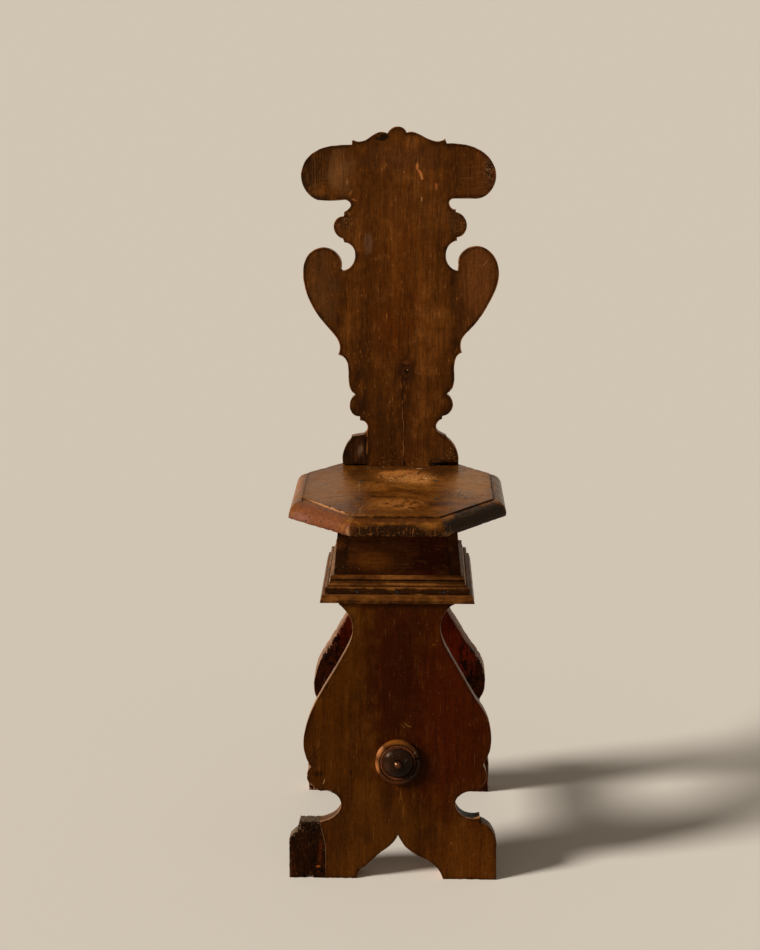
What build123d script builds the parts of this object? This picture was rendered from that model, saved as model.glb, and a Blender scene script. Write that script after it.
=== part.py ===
from build123d import *
from math import cos, radians, sin, tan
import os

# A carved board-leg chair: two splayed board legs, a small flared box on a bottom board,
# a moulded octagonal seat and a shaped back board keyed through the seat.
# Millimetres, +Z up, the front of the chair looks along -Y, the floor is Z = 0.

# One overrun serves every cutting solid.
overrun = 40

# Heights of the stack, from the floor up
leg_height = 371
bottom_board_thickness = 10
box_height = 96
seat_thickness = 22

# Seat: flat octagon with a moulded edge all round
seat_centre_y = -2.8
seat_flat_half_width = 126
seat_flat_half_depth = 152
seat_side_half_length = 65
seat_front_half_length = 54
seat_edge_projection = 17
seat_quirk_depth = 2
seat_edge_lip = 3
seat_left_swell = 13

# Back board: shaped outline, leaning back, with a tenon through the seat
back_front_y = 99.9
back_rake = 6
back_thickness = 24
back_half_width = 138
back_height = 472
back_tenon_half_width = 45.5
back_tenon_projection = 32
back_left_shoulder_gap = 2
back_right_shoulder_gap = 5
back_repair_inset = 1

# Key under the seat that pulls the back's tenon down
back_key_width = 18
back_key_thin = 8
back_key_thick = 13
back_key_overhang = 20

# Box between the bottom board and the seat, wider at its base
box_centre_y = -26.8
box_half_width = 85.5
box_half_depth = 81.5
box_flare = 8.5
side_board_thickness = 14
end_board_thickness = 16

# Glue blocks in the corners of the box
block_width = 24
block_depth = 22
block_height = 40

# Bottom board: a ledge around the box, with a bevelled edge
bottom_board_ledge = 13
bottom_board_bevel = 3

# Moulding planted round the foot of the box
moulding_projection = 9.2
moulding_height = 23.5

# Legs: board legs, leaning in towards each other as they rise
leg_splay = 8.41
leg_inset = 5.95
leg_thickness = 26
leg_half_width = 134
leg_tenon_width = 30
leg_tenon_centre = 35
leg_wedge_thickness = 4
leg_wedge_depth = 9
toe_seam_half_width = 94
toe_seam_slant = 10
toe_strip_half_width = 111.5

# Stretcher between the legs, keyed behind the rear leg
stretcher_height = 50
stretcher_thickness = 24
stretcher_tenon_height = 36
stretcher_tenon_thickness = 16
stretcher_tusk = 36
stretcher_key_half_length = 32
stretcher_key_height = 15
stretcher_key_thin = 9
stretcher_key_thick = 14

# Turned boss on the front leg, over the end of the stretcher
boss_offset_x = 2.2
boss_radius = 30.3
boss_height = 20
boss_spigot_length = 30
boss_spigot_clearance = 0.15

# Forged nails: square shank, square head let in flush
nail_shank = 3
nail_head = 5.5
nail_head_thickness = 2
seat_nail_length = 45
box_nail_length = 40
board_nail_length = 28

# Finer nails of the moulding
brad_shank = 1.8
brad_head = 3.4
brad_head_thickness = 1.2
brad_length = 20
brad_height = 3.6

# The outlines below are shares of the half width and of the height of their board.
# One point is a straight run to it, two are an arc, three or more a smooth curve.
back_left_start_share = (-0.582, 0.004)
back_left_shares = [
    [(-0.588, 0.025)],
    [(-0.572, 0.046), (-0.498, 0.081)],
    [(-0.493, 0.089)],
    [(-0.393, 0.094)],
    [(-0.330, 0.111), (-0.407, 0.137)],
    [(-0.407, 0.149)],
    [(-0.493, 0.162), (-0.512, 0.181), (-0.497, 0.200), (-0.447, 0.213)],
    [(-0.514, 0.239), (-0.525, 0.270), (-0.538, 0.312), (-0.630, 0.334)],
    [(-0.612, 0.352), (-0.625, 0.373), (-0.711, 0.407), (-0.822, 0.446), (-0.922, 0.496),
     (-0.971, 0.540), (-0.983, 0.578), (-0.931, 0.628), (-0.780, 0.650), (-0.641, 0.632),
     (-0.599, 0.586)],
    [(-0.586, 0.582)],
    [(-0.475, 0.605), (-0.462, 0.641), (-0.565, 0.665)],
    [(-0.578, 0.676)],
    [(-0.663, 0.697), (-0.674, 0.713), (-0.643, 0.733), (-0.571, 0.741)],
    [(-0.565, 0.754)],
    [(-0.509, 0.767), (-0.500, 0.775), (-0.514, 0.782), (-0.565, 0.789)],
    [(-0.696, 0.786), (-0.837, 0.788)],
    [(-0.951, 0.814), (-1.000, 0.854), (-0.950, 0.903), (-0.809, 0.935), (-0.667, 0.945),
     (-0.488, 0.948)],
    [(-0.488, 0.958)],
    [(-0.474, 0.961)],
    [(-0.401, 0.957), (-0.340, 0.963), (-0.307, 0.970), (-0.222, 0.983), (-0.133, 0.980)],
    [(-0.108, 0.991), (-0.040, 1.000)],
]
back_right_start_share = (0.607, 0.014)
back_right_shares = [
    [(0.607, 0.026)],
    [(0.575, 0.056), (0.486, 0.086)],
    [(0.477, 0.092)],
    [(0.422, 0.099)],
    [(0.375, 0.119), (0.435, 0.142)],
    [(0.438, 0.151)],
    [(0.520, 0.165), (0.545, 0.188), (0.519, 0.206), (0.473, 0.218)],
    [(0.547, 0.242), (0.557, 0.269), (0.557, 0.308), (0.597, 0.336), (0.632, 0.341)],
    [(0.617, 0.360), (0.626, 0.379), (0.710, 0.409), (0.825, 0.450), (0.920, 0.499),
     (0.978, 0.539), (0.997, 0.578), (0.943, 0.627), (0.791, 0.655), (0.641, 0.641),
     (0.588, 0.599)],
    [(0.582, 0.582)],
    [(0.466, 0.614), (0.470, 0.646), (0.571, 0.671)],
    [(0.568, 0.680)],
    [(0.659, 0.700), (0.668, 0.720), (0.633, 0.742), (0.556, 0.754)],
    [(0.556, 0.762)],
    [(0.505, 0.768), (0.489, 0.780), (0.551, 0.793)],
    [(0.736, 0.793)],
    [(0.886, 0.809), (0.957, 0.857), (0.886, 0.911), (0.741, 0.940), (0.607, 0.950),
     (0.460, 0.952)],
    [(0.443, 0.965)],
    [(0.353, 0.958), (0.259, 0.967), (0.151, 0.982), (0.101, 0.985), (0.059, 0.982)],
    [(0.032, 0.994), (-0.040, 1.000)],
]
back_repair_top_share = 0.111

leg_left_start_share = (-0.574, 0.991)
leg_left_shares = [
    [(-0.495, 0.963), (-0.441, 0.924), (-0.451, 0.870), (-0.526, 0.812), (-0.633, 0.745),
     (-0.780, 0.655), (-0.901, 0.548), (-0.922, 0.493), (-0.902, 0.445), (-0.847, 0.406)],
    [(-0.884, 0.385), (-0.883, 0.359), (-0.826, 0.334)],
    [(-0.823, 0.325)],
    [(-0.751, 0.319)],
    [(-0.649, 0.314), (-0.578, 0.298), (-0.549, 0.271), (-0.568, 0.247), (-0.619, 0.227),
     (-0.751, 0.207)],
    [(-0.959, 0.208)],
    [(-0.969, 0.199)],
    [(-0.979, 0.177)],
    [(-1.056, 0.150)],
    [(-1.066, 0.139)],
    [(-1.066, 0.000)],
]
leg_right_start_share = (0.563, 0.993)
leg_right_shares = [
    [(0.494, 0.976), (0.437, 0.938), (0.427, 0.907), (0.443, 0.873), (0.541, 0.803),
     (0.671, 0.722), (0.778, 0.657), (0.877, 0.602), (0.924, 0.554), (0.935, 0.514),
     (0.929, 0.481), (0.902, 0.451), (0.853, 0.418)],
    [(0.878, 0.403), (0.892, 0.373), (0.869, 0.351), (0.825, 0.334)],
    [(0.784, 0.321)],
    [(0.684, 0.319), (0.614, 0.302), (0.582, 0.279), (0.599, 0.257), (0.646, 0.237),
     (0.727, 0.225), (0.828, 0.228)],
    [(0.838, 0.210)],
    [(0.919, 0.195), (0.971, 0.169), (0.997, 0.136)],
    [(0.997, 0.000)],
]
rear_left_curve_shares = [
    (-0.494, 0.976), (-0.437, 0.938), (-0.427, 0.907), (-0.443, 0.873), (-0.536, 0.797),
    (-0.630, 0.735), (-0.770, 0.645), (-0.845, 0.598), (-0.890, 0.550), (-0.914, 0.505),
    (-0.914, 0.465), (-0.893, 0.438), (-0.853, 0.418),
]
arch_apex_share = (0.019, 0.161)
arch_left_shares = [
    [(-0.066, 0.120), (-0.185, 0.087), (-0.287, 0.051), (-0.362, 0.028), (-0.388, 0.000)],
]
arch_right_shares = [
    [(0.126, 0.107), (0.201, 0.089), (0.349, 0.061), (0.393, 0.047), (0.437, 0.026), (0.464, 0.000)],
]
toe_seam_top_share = 0.23
boss_height_share = 0.429

# Profile of the moulding: shares of its projection and of its height
moulding_shares = [
    (1.000, 0.000), (1.000, 0.404), (0.576, 0.426), (0.304, 0.723),
    (0.130, 0.723), (0.130, 0.775), (0.283, 0.787), (0.283, 0.936),
]

# Profile of the boss from its rim to its tip: shares of its radius and of its height
boss_rim_share = (1.000, 0.040)
boss_shares = [
    [(0.980, 0.250), (0.910, 0.320)],
    [(0.830, 0.310), (0.800, 0.220)],
    [(0.785, 0.220)],
    [(0.745, 0.330), (0.700, 0.240)],
    [(0.500, 0.580), (0.200, 0.680)],
    [(0.150, 0.660)],
    [(0.175, 0.800), (0.110, 0.950)],
    [(0.060, 1.000)],
    [(0.000, 1.000)],
]
boss_spigot_share = 0.3

# Places of nails along a board, as shares of its half length or of its height
brad_shares = [-0.62, 0, 0.71]
box_nail_shares = [0.40, 0.80]
board_nail_share = 0.49

# Heights and half sizes that follow from the sizes above
box_bottom_z = leg_height + bottom_board_thickness
box_top_z = box_bottom_z + box_height
seat_top_z = box_top_z + seat_thickness
leg_slope = leg_height / cos(radians(leg_splay))
board_reach = box_half_depth + bottom_board_ledge + bottom_board_bevel
leg_spread = board_reach - leg_inset + leg_height * tan(radians(leg_splay))
box_slope = box_flare / box_height
block_half_x = box_half_width - box_flare - side_board_thickness
block_half_y = box_half_depth - box_flare - end_board_thickness
stretcher_z = boss_height_share * leg_slope * cos(radians(leg_splay))


def scaled(point, width, height):
    return (point[0] * width, point[1] * height)


# Edges of an outline: straight runs, arcs and smooth curves, one step after another.
def outline_edges(start, steps, width, height):
    edges = []
    here = scaled(start, width, height)
    for step in steps:
        points = [scaled(point, width, height) for point in step]
        if len(points) == 1:
            edges.append(Line(here, points[0]))
        elif len(points) == 2:
            edges.append(ThreePointArc(here, points[0], points[1]))
        else:
            edges.append(Spline(here, *points))
        here = points[-1]
    return edges


def mirrored(steps):
    return [[(-x, v) for x, v in step] for step in steps]


# A leaning board's own plane: X across, Y up its front face, Z out of that face.
def leaning_plane(front_y, base_z, lean):
    normal = (0, -cos(radians(lean)), sin(radians(lean)))
    return Plane(origin=(0, front_y, base_z), x_dir=(1, 0, 0), z_dir=normal)


def board_on(plane, face, thickness):
    return extrude(plane * face, amount=thickness, dir=-plane.z_dir)


# A level slab that trims the leaning boards, wider than the whole chair.
def slab(low_z, high_z):
    reach = seat_flat_half_depth + leg_spread + overrun
    height = high_z - low_z
    return Pos(0, 0, low_z + height / 2) * Box(2 * reach, 2 * reach, height)


# A block with four sloping sides, widest at its base.
def flared_block(half_width, half_depth, low_z, high_z, flare):
    base = Pos(0, box_centre_y, low_z) * Rectangle(2 * half_width, 2 * half_depth)
    top = Pos(0, box_centre_y, high_z) * Rectangle(2 * (half_width - flare), 2 * (half_depth - flare))
    return loft([base, top], ruled=True)


# A nail along -Z with the outer face of its head at Z = 0.
def square_nail(shank, head, head_thickness, length):
    stem = Pos(0, 0, -length / 2) * Box(shank, shank, length)
    cap = Pos(0, 0, -head_thickness / 2) * Box(head, head, head_thickness)
    return stem + cap


# Seat board

def seat_corners():
    side = seat_flat_half_width
    end = seat_flat_half_depth
    return [
        (-seat_front_half_length, seat_centre_y - end), (seat_front_half_length, seat_centre_y - end),
        (side, seat_centre_y - seat_side_half_length), (side, seat_centre_y + seat_side_half_length),
        (seat_front_half_length, seat_centre_y + end), (-seat_front_half_length, seat_centre_y + end),
        (-side, seat_centre_y + seat_side_half_length), (-side, seat_centre_y - seat_side_half_length),
    ]


# What the moulding plane takes off along one side: X out of the side, Y downward.
def seat_edge_waste(projection):
    low = seat_thickness - seat_edge_lip
    drop = low - seat_quirk_depth
    bulge = (projection * sin(radians(45)), low - drop * cos(radians(45)))
    far = projection + seat_flat_half_width
    edges = [
        Line((0, -overrun), (0, seat_quirk_depth)),
        ThreePointArc((0, seat_quirk_depth), bulge, (projection, low)),
        Line((projection, low), (projection, seat_thickness + overrun)),
        Line((projection, seat_thickness + overrun), (far, seat_thickness + overrun)),
        Line((far, seat_thickness + overrun), (far, -overrun)),
        Line((far, -overrun), (0, -overrun)),
    ]
    return make_face(edges)


# The edge of one side, from start to end; it may swell outwards towards its start.
def seat_side_waste(start, end, swell):
    along = Vector(end[0] - start[0], end[1] - start[1], 0)
    run = along.normalized()
    outward = Vector(run.Y, -run.X, 0)
    spread = swell * overrun / along.length
    sections = []
    for place, projection in ((-overrun, seat_edge_projection + swell + spread),
                              (along.length + overrun, seat_edge_projection - spread)):
        origin = Vector(start[0], start[1], seat_top_z) + run * place
        plane = Plane(origin=origin, x_dir=outward, z_dir=run)
        sections.append(plane * seat_edge_waste(projection))
    return loft(sections, ruled=True)


# The front left side, the last one, is worked wider towards the chair's left.
def make_seat_blank():
    half_width = seat_flat_half_width + seat_edge_projection
    half_depth = seat_flat_half_depth + seat_edge_projection
    middle_z = seat_top_z - seat_thickness / 2
    blank = Pos(0, seat_centre_y, middle_z) * Box(2 * half_width, 2 * half_depth, seat_thickness)
    corners = seat_corners()
    sides = list(zip(corners, corners[1:] + corners[:1]))
    for start, end in sides[:-1]:
        blank -= seat_side_waste(start, end, 0)
    return blank - seat_side_waste(*sides[-1], seat_left_swell)


def make_seat_nails():
    nails = []
    for side in (-1, 1):
        for end in (-1, 1):
            x = side * (block_half_x - block_width / 2)
            y = box_centre_y + end * (block_half_y - block_depth / 2)
            nail = square_nail(nail_shank, nail_head, nail_head_thickness, seat_nail_length)
            nails.append(Pos(x, y, seat_top_z) * nail)
    return nails


# Back board

def make_back_blank():
    plane = leaning_plane(back_front_y, seat_top_z, back_rake)
    tenon_foot = -(seat_thickness / cos(radians(back_rake)) + back_tenon_projection)
    left = scaled(back_left_start_share, back_half_width, back_height)
    right = scaled(back_right_start_share, back_half_width, back_height)
    edges = outline_edges(back_left_start_share, back_left_shares, back_half_width, back_height)
    edges += outline_edges(back_right_start_share, back_right_shares, back_half_width, back_height)
    foot = [
        left,
        (-back_tenon_half_width, back_left_shoulder_gap),
        (-back_tenon_half_width, tenon_foot),
        (back_tenon_half_width, tenon_foot),
        (back_tenon_half_width, back_right_shoulder_gap),
        right,
    ]
    for start, end in zip(foot, foot[1:]):
        edges.append(Line(start, end))
    return board_on(plane, make_face(edges), back_thickness)


# The later piece let in at the board's lower left foot
def make_back_repair(blank):
    plane = leaning_plane(back_front_y, seat_top_z, back_rake)
    seam_x = -(back_tenon_half_width + back_repair_inset)
    top = back_repair_top_share * back_height
    corner = [
        (seam_x, 0), (seam_x, top), (-back_half_width, top), (-back_half_width, 0), (seam_x, 0),
    ]
    area = make_face(Polyline(*corner))
    return blank & board_on(plane, area, back_thickness)


def make_back_key():
    front_y = back_front_y - seat_thickness * tan(radians(back_rake)) - back_key_overhang
    rear_y = front_y + back_thickness + 2 * back_key_overhang
    outline = Polyline(
        (front_y, box_top_z), (rear_y, box_top_z), (rear_y, box_top_z - back_key_thick),
        (front_y, box_top_z - back_key_thin), (front_y, box_top_z),
    )
    plane = Plane(origin=(-back_key_width / 2, 0, 0), x_dir=(0, 1, 0), z_dir=(1, 0, 0))
    return extrude(plane * make_face(outline), amount=back_key_width, dir=(1, 0, 0))


# Box

# Everything outside the left or the right board's inner face
def side_region(side):
    near_low = side * (box_half_width - side_board_thickness)
    near_high = near_low - side * box_flare
    far = side * (box_half_width + overrun)
    outline = Polyline(
        (near_low, box_bottom_z), (far, box_bottom_z), (far, box_top_z), (near_high, box_top_z),
        (near_low, box_bottom_z),
    )
    depth = box_half_depth + overrun
    plane = Plane(origin=(0, box_centre_y - depth, 0), x_dir=(1, 0, 0), z_dir=(0, -1, 0))
    return extrude(plane * make_face(outline), amount=2 * depth, dir=(0, 1, 0))


def make_box_blank():
    return flared_block(box_half_width, box_half_depth, box_bottom_z, box_top_z, box_flare)


def make_box_hollow():
    half_width = box_half_width - side_board_thickness
    half_depth = box_half_depth - end_board_thickness
    return flared_block(half_width, half_depth, box_bottom_z, box_top_z, box_flare)


def make_side_board(side):
    return make_box_blank() & side_region(side)


# The front (-1) or rear (1) board, between the two side boards
def make_end_board(end):
    ring = make_box_blank() - make_box_hollow() - side_region(-1) - side_region(1)
    half = Pos(0, box_centre_y + end * box_half_depth, box_bottom_z + box_height / 2)
    return ring & half * Box(2 * box_half_width, 2 * box_half_depth, 2 * box_height)


# A glue block fills a corner of the hollow right up to the seat.
def make_block(side, end):
    inner_x = block_half_x - block_width
    inner_y = block_half_y - block_depth
    reach = box_half_width
    x = side * (inner_x + reach / 2)
    y = box_centre_y + end * (inner_y + reach / 2)
    z = box_top_z - block_height / 2
    return make_box_hollow() & Pos(x, y, z) * Box(reach, reach, block_height)


# Nails through the side boards into the ends of the front and rear boards
def make_box_nails():
    nails = []
    blank = make_box_blank()
    for side in (-1, 1):
        for end in (-1, 1):
            for share in box_nail_shares:
                height = share * box_height
                x = side * (box_half_width - box_slope * (height - nail_head / 2))
                y = end * (box_half_depth - box_slope * height - end_board_thickness / 2)
                place = Pos(x, box_centre_y + y, box_bottom_z + height) * Rot(0, side * 90, 0)
                nail = square_nail(nail_shank, nail_head, nail_head_thickness, box_nail_length)
                nails.append(place * nail & blank)
    return nails


# Bottom board

def make_bottom_blank():
    half_width = box_half_width + bottom_board_ledge + bottom_board_bevel
    return flared_block(half_width, board_reach, leg_height, box_bottom_z, bottom_board_bevel)


# Nails up through the bottom board into the side boards
def make_board_nails():
    nails = []
    for side in (-1, 1):
        for end in (-1, 1):
            x = side * (box_half_width - side_board_thickness / 2)
            y = box_centre_y + end * board_nail_share * box_half_depth
            nail = square_nail(nail_shank, nail_head, nail_head_thickness, board_nail_length)
            nails.append(Pos(x, y, leg_height) * Rot(180, 0, 0) * nail)
    return nails


# Moulding

# The four sides of the box: direction out of the box, run along it, reach and half length
def moulding_side(name):
    sides = {
        "front": (Vector(0, -1, 0), Vector(1, 0, 0), box_half_depth, box_half_width),
        "rear": (Vector(0, 1, 0), Vector(-1, 0, 0), box_half_depth, box_half_width),
        "left": (Vector(-1, 0, 0), Vector(0, -1, 0), box_half_width, box_half_depth),
        "right": (Vector(1, 0, 0), Vector(0, 1, 0), box_half_width, box_half_depth),
    }
    return sides[name]


def moulding_profile():
    points = [scaled(share, moulding_projection, moulding_height) for share in moulding_shares]
    top = (-box_slope * moulding_height, moulding_height)
    return make_face(Polyline((0, 0), *points, top, (0, 0)))


# Mitred at 45 degrees where it meets its neighbours
def make_moulding(name):
    outward, run, reach, half_length = moulding_side(name)
    centre = Vector(0, box_centre_y, box_bottom_z)
    start = centre + outward * reach - run * (half_length + overrun)
    plane = Plane(origin=start, x_dir=outward, z_dir=-run)
    strip = extrude(plane * moulding_profile(), amount=2 * (half_length + overrun), dir=run)
    corners = [
        centre + outward * (reach + step * overrun) + run * end * (half_length + step * overrun)
        for step, end in ((-1, -1), (1, -1), (1, 1), (-1, 1), (-1, -1))
    ]
    wedge = extrude(make_face(Polyline(*corners)), amount=moulding_height, dir=(0, 0, 1))
    return strip & wedge


def make_brads(name):
    outward, run, reach, half_length = moulding_side(name)
    brads = []
    for share in brad_shares:
        origin = Vector(0, box_centre_y, box_bottom_z + brad_height)
        origin += outward * (reach + moulding_projection) + run * share * half_length
        plane = Plane(origin=origin, x_dir=run, z_dir=outward)
        brads.append(plane * square_nail(brad_shank, brad_head, brad_head_thickness, brad_length))
    return brads


# Legs

def front_leg_plane():
    return leaning_plane(box_centre_y - leg_spread, 0, leg_splay)


def to_rear(shape):
    return mirror(shape, about=Plane(origin=(0, box_centre_y, 0), z_dir=(0, 1, 0)))


# Outline of a leg, run past the floor and past the bottom board
def leg_face(left_start, left, right_start, right, apex, arch_left, arch_right):
    width = leg_half_width
    edges = outline_edges(left_start, left, width, leg_slope)
    edges += outline_edges(right_start, right, width, leg_slope)
    edges += outline_edges(apex, arch_left, width, leg_slope)
    edges += outline_edges(apex, arch_right, width, leg_slope)
    left_toe = left[-1][-1][0] * width
    right_toe = right[-1][-1][0] * width
    left_heel = arch_left[-1][-1][0] * width
    right_heel = arch_right[-1][-1][0] * width
    top = leg_slope + overrun
    runs = [
        [(left_toe, 0), (left_toe, -overrun), (left_heel, -overrun), (left_heel, 0)],
        [(right_toe, 0), (right_toe, -overrun), (right_heel, -overrun), (right_heel, 0)],
        [scaled(left_start, width, leg_slope), (left_start[0] * width, top),
         (right_start[0] * width, top), scaled(right_start, width, leg_slope)],
    ]
    for run in runs:
        edges += [Line(start, end) for start, end in zip(run, run[1:])]
    return make_face(edges)


# The two tenons that rise through the bottom board
def leg_tenons():
    face = Sketch()
    middle = leg_slope
    for side in (-1, 1):
        face += Pos(side * leg_tenon_centre, middle) * Rectangle(leg_tenon_width, 2 * overrun)
    return board_on(front_leg_plane(), face, leg_thickness) & slab(leg_height, box_bottom_z)


# A wedge opens each tenon from above.
def make_leg_wedges():
    wedges = []
    top = box_bottom_z / cos(radians(leg_splay))
    spare = leg_thickness * tan(radians(leg_splay))
    for side in (-1, 1):
        x = side * leg_tenon_centre
        point = top - leg_wedge_depth
        half = leg_wedge_thickness / 2 * (leg_wedge_depth + spare) / leg_wedge_depth
        head = point + (leg_wedge_depth + spare)
        outline = Polyline((x, point), (x + half, head), (x - half, head), (x, point))
        wedge = board_on(front_leg_plane(), make_face(outline), leg_thickness)
        wedges.append(wedge & slab(leg_height, box_bottom_z))
    return wedges


def make_front_leg_blank():
    face = leg_face(leg_left_start_share, leg_left_shares, leg_right_start_share, leg_right_shares,
                    arch_apex_share, arch_left_shares, arch_right_shares)
    return board_on(front_leg_plane(), face, leg_thickness) & slab(0, leg_height)


# The rear leg has the front leg's right side on both sides, but is slimmer at its left shoulder.
def make_rear_leg_blank():
    left_start = (-leg_right_start_share[0], leg_right_start_share[1])
    left = [rear_left_curve_shares] + mirrored(leg_right_shares[1:])
    face = leg_face(left_start, left, leg_right_start_share, leg_right_shares,
                    (0, arch_apex_share[1]), mirrored(arch_right_shares), arch_right_shares)
    return to_rear(board_on(front_leg_plane(), face, leg_thickness) & slab(0, leg_height))


# The pieced-on toe at the front leg's left: its seam slants near the top.
def left_toe_region():
    top = toe_seam_top_share * leg_slope
    outer = -(leg_half_width + overrun)
    outline = Polyline(
        (-toe_seam_half_width, -overrun), (-toe_seam_half_width, top / 2),
        (-toe_seam_half_width - toe_seam_slant, top), (outer, top), (outer, -overrun),
        (-toe_seam_half_width, -overrun),
    )
    return board_on(front_leg_plane(), make_face(outline), leg_thickness)


# The thin strip pieced on to the tip of the front leg's right toe
def right_toe_region():
    top = toe_seam_top_share * leg_slope
    outer = leg_half_width + overrun
    outline = Polyline(
        (toe_strip_half_width, -overrun), (toe_strip_half_width, top), (outer, top),
        (outer, -overrun), (toe_strip_half_width, -overrun),
    )
    return board_on(front_leg_plane(), make_face(outline), leg_thickness)


# Stretcher

# Distance of a leg's outer face from the middle of the chair at a height
def face_reach(z):
    return leg_spread - z * tan(radians(leg_splay))


def inner_reach(z):
    return face_reach(z) - leg_thickness / cos(radians(leg_splay))


def side_profile(points, thickness):
    outline = Polyline(*points, points[0])
    plane = Plane(origin=(-thickness / 2, box_centre_y, 0), x_dir=(0, 1, 0), z_dir=(1, 0, 0))
    return extrude(plane * make_face(outline), amount=thickness, dir=(1, 0, 0))


def make_stretcher_blank():
    low = stretcher_z - stretcher_height / 2
    high = stretcher_z + stretcher_height / 2
    body = side_profile(
        [(-inner_reach(low), low), (inner_reach(low), low),
         (inner_reach(high), high), (-inner_reach(high), high)],
        stretcher_thickness)
    low = stretcher_z - stretcher_tenon_height / 2
    high = stretcher_z + stretcher_tenon_height / 2
    end = face_reach(stretcher_z) + stretcher_tusk
    tenon = side_profile(
        [(-face_reach(low), low), (end, low), (end, high), (-face_reach(high), high)],
        stretcher_tenon_thickness)
    return body + tenon


# Tapered key behind the rear leg, lying on the leg's sloping face
def make_stretcher_key():
    plane = front_leg_plane()
    centre = boss_height_share * leg_slope - stretcher_key_height / 2
    origin = plane.origin + plane.y_dir * centre
    lying = Plane(origin=origin, x_dir=(1, 0, 0), z_dir=plane.y_dir)
    half = stretcher_key_half_length
    outline = Polyline(
        (-half, 0), (half, 0), (half, -stretcher_key_thin), (-half, -stretcher_key_thick), (-half, 0),
    )
    key = extrude(lying * make_face(outline), amount=stretcher_key_height, dir=plane.y_dir)
    return to_rear(key)


# Boss

def boss_plane():
    plane = front_leg_plane()
    origin = plane.origin + plane.x_dir * boss_offset_x
    origin += plane.y_dir * boss_height_share * leg_slope
    return Plane(origin=origin, x_dir=plane.x_dir, z_dir=plane.z_dir)


def spigot_radius():
    return boss_spigot_share * stretcher_tenon_thickness


def make_boss():
    rim = scaled(boss_rim_share, boss_radius, boss_height)
    edges = outline_edges(boss_rim_share, boss_shares, boss_radius, boss_height)
    foot = [
        (0, boss_height), (0, -boss_spigot_length), (spigot_radius(), -boss_spigot_length),
        (spigot_radius(), 0), (boss_radius, 0), rim,
    ]
    edges += [Line(start, end) for start, end in zip(foot, foot[1:])]
    profile = Plane.XZ * make_face(edges)
    return boss_plane() * revolve(profile, axis=Axis.Z)


def boss_hole():
    depth = boss_spigot_length + boss_spigot_clearance
    pin = Cylinder(spigot_radius() + boss_spigot_clearance, depth + overrun)
    return boss_plane() * Pos(0, 0, (overrun - depth) / 2) * pin


# Cut a piece by every solid that passes through it.
def less(piece, cutters):
    for cutter in cutters:
        piece = piece - cutter
    return piece


def save(name, solids):
    found = []
    for solid in solids:
        found += solid.solids()
    whole = found[0] if len(found) == 1 else Compound(found)
    export_step(whole, f"parts/{name}.step")


def main():
    os.makedirs("parts", exist_ok=True)

    seat_nails = make_seat_nails()
    box_nails = make_box_nails()
    board_nails = make_board_nails()
    brads = {name: make_brads(name) for name in ("front", "rear", "left", "right")}
    back_blank = make_back_blank()
    back_key = make_back_key()
    stretcher_blank = make_stretcher_blank()
    stretcher_key = make_stretcher_key()
    tenons = leg_tenons()
    wedges = make_leg_wedges()

    save("seat_board", [less(make_seat_blank(), [back_blank] + seat_nails)])
    save("seat_nails", seat_nails)

    back_repair = make_back_repair(back_blank)
    save("back_foot_repair", [back_repair])
    save("back_board", [less(back_blank, [back_repair, back_key])])
    save("back_key", [back_key])

    save("box_left_board", [less(make_side_board(-1), box_nails + board_nails + brads["left"])])
    save("box_right_board", [less(make_side_board(1), box_nails + board_nails + brads["right"])])
    save("box_front_board", [less(make_end_board(-1), box_nails + brads["front"])])
    save("box_rear_board", [less(make_end_board(1), box_nails + brads["rear"])])
    save("box_nails", box_nails)
    for side, side_name in ((-1, "left"), (1, "right")):
        for end, end_name in ((-1, "front"), (1, "rear")):
            block = less(make_block(side, end), seat_nails)
            save(f"corner_block_{end_name}_{side_name}", [block])

    rear_tenons = to_rear(tenons)
    save("bottom_board", [less(make_bottom_blank(), [tenons, rear_tenons] + board_nails)])
    save("bottom_board_nails", board_nails)
    for name, nails in brads.items():
        save(f"moulding_{name}", [less(make_moulding(name), nails)])
    save("moulding_nails", [nail for nails in brads.values() for nail in nails])

    rear_wedges = [to_rear(wedge) for wedge in wedges]
    front_leg = less(make_front_leg_blank() + tenons, [stretcher_blank] + wedges)
    left_toe = front_leg & left_toe_region()
    right_toe = front_leg & right_toe_region()
    save("front_toe_repair_left", [left_toe])
    save("front_toe_repair_right", [right_toe])
    save("front_leg", [less(front_leg, [left_toe_region(), right_toe_region()])])
    save("front_leg_wedges", wedges)
    save("rear_leg", [less(make_rear_leg_blank() + rear_tenons, [stretcher_blank] + rear_wedges)])
    save("rear_leg_wedges", rear_wedges)

    save("stretcher", [less(stretcher_blank, [stretcher_key, boss_hole()])])
    save("stretcher_key", [stretcher_key])
    save("boss", [make_boss()])


main()
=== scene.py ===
import math

import bmesh
import bpy
from mathutils import Matrix, Vector, noise
from mathutils.kdtree import KDTree


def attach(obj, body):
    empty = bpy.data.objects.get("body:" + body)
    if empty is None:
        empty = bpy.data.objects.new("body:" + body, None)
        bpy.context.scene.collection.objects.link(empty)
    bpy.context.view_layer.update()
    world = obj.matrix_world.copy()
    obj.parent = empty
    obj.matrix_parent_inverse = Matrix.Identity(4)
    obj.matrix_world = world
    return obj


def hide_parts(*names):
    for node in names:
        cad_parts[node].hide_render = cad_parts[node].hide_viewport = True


# A carved board-leg chair in waxed walnut: metres, in the frame of the CAD part.

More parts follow.
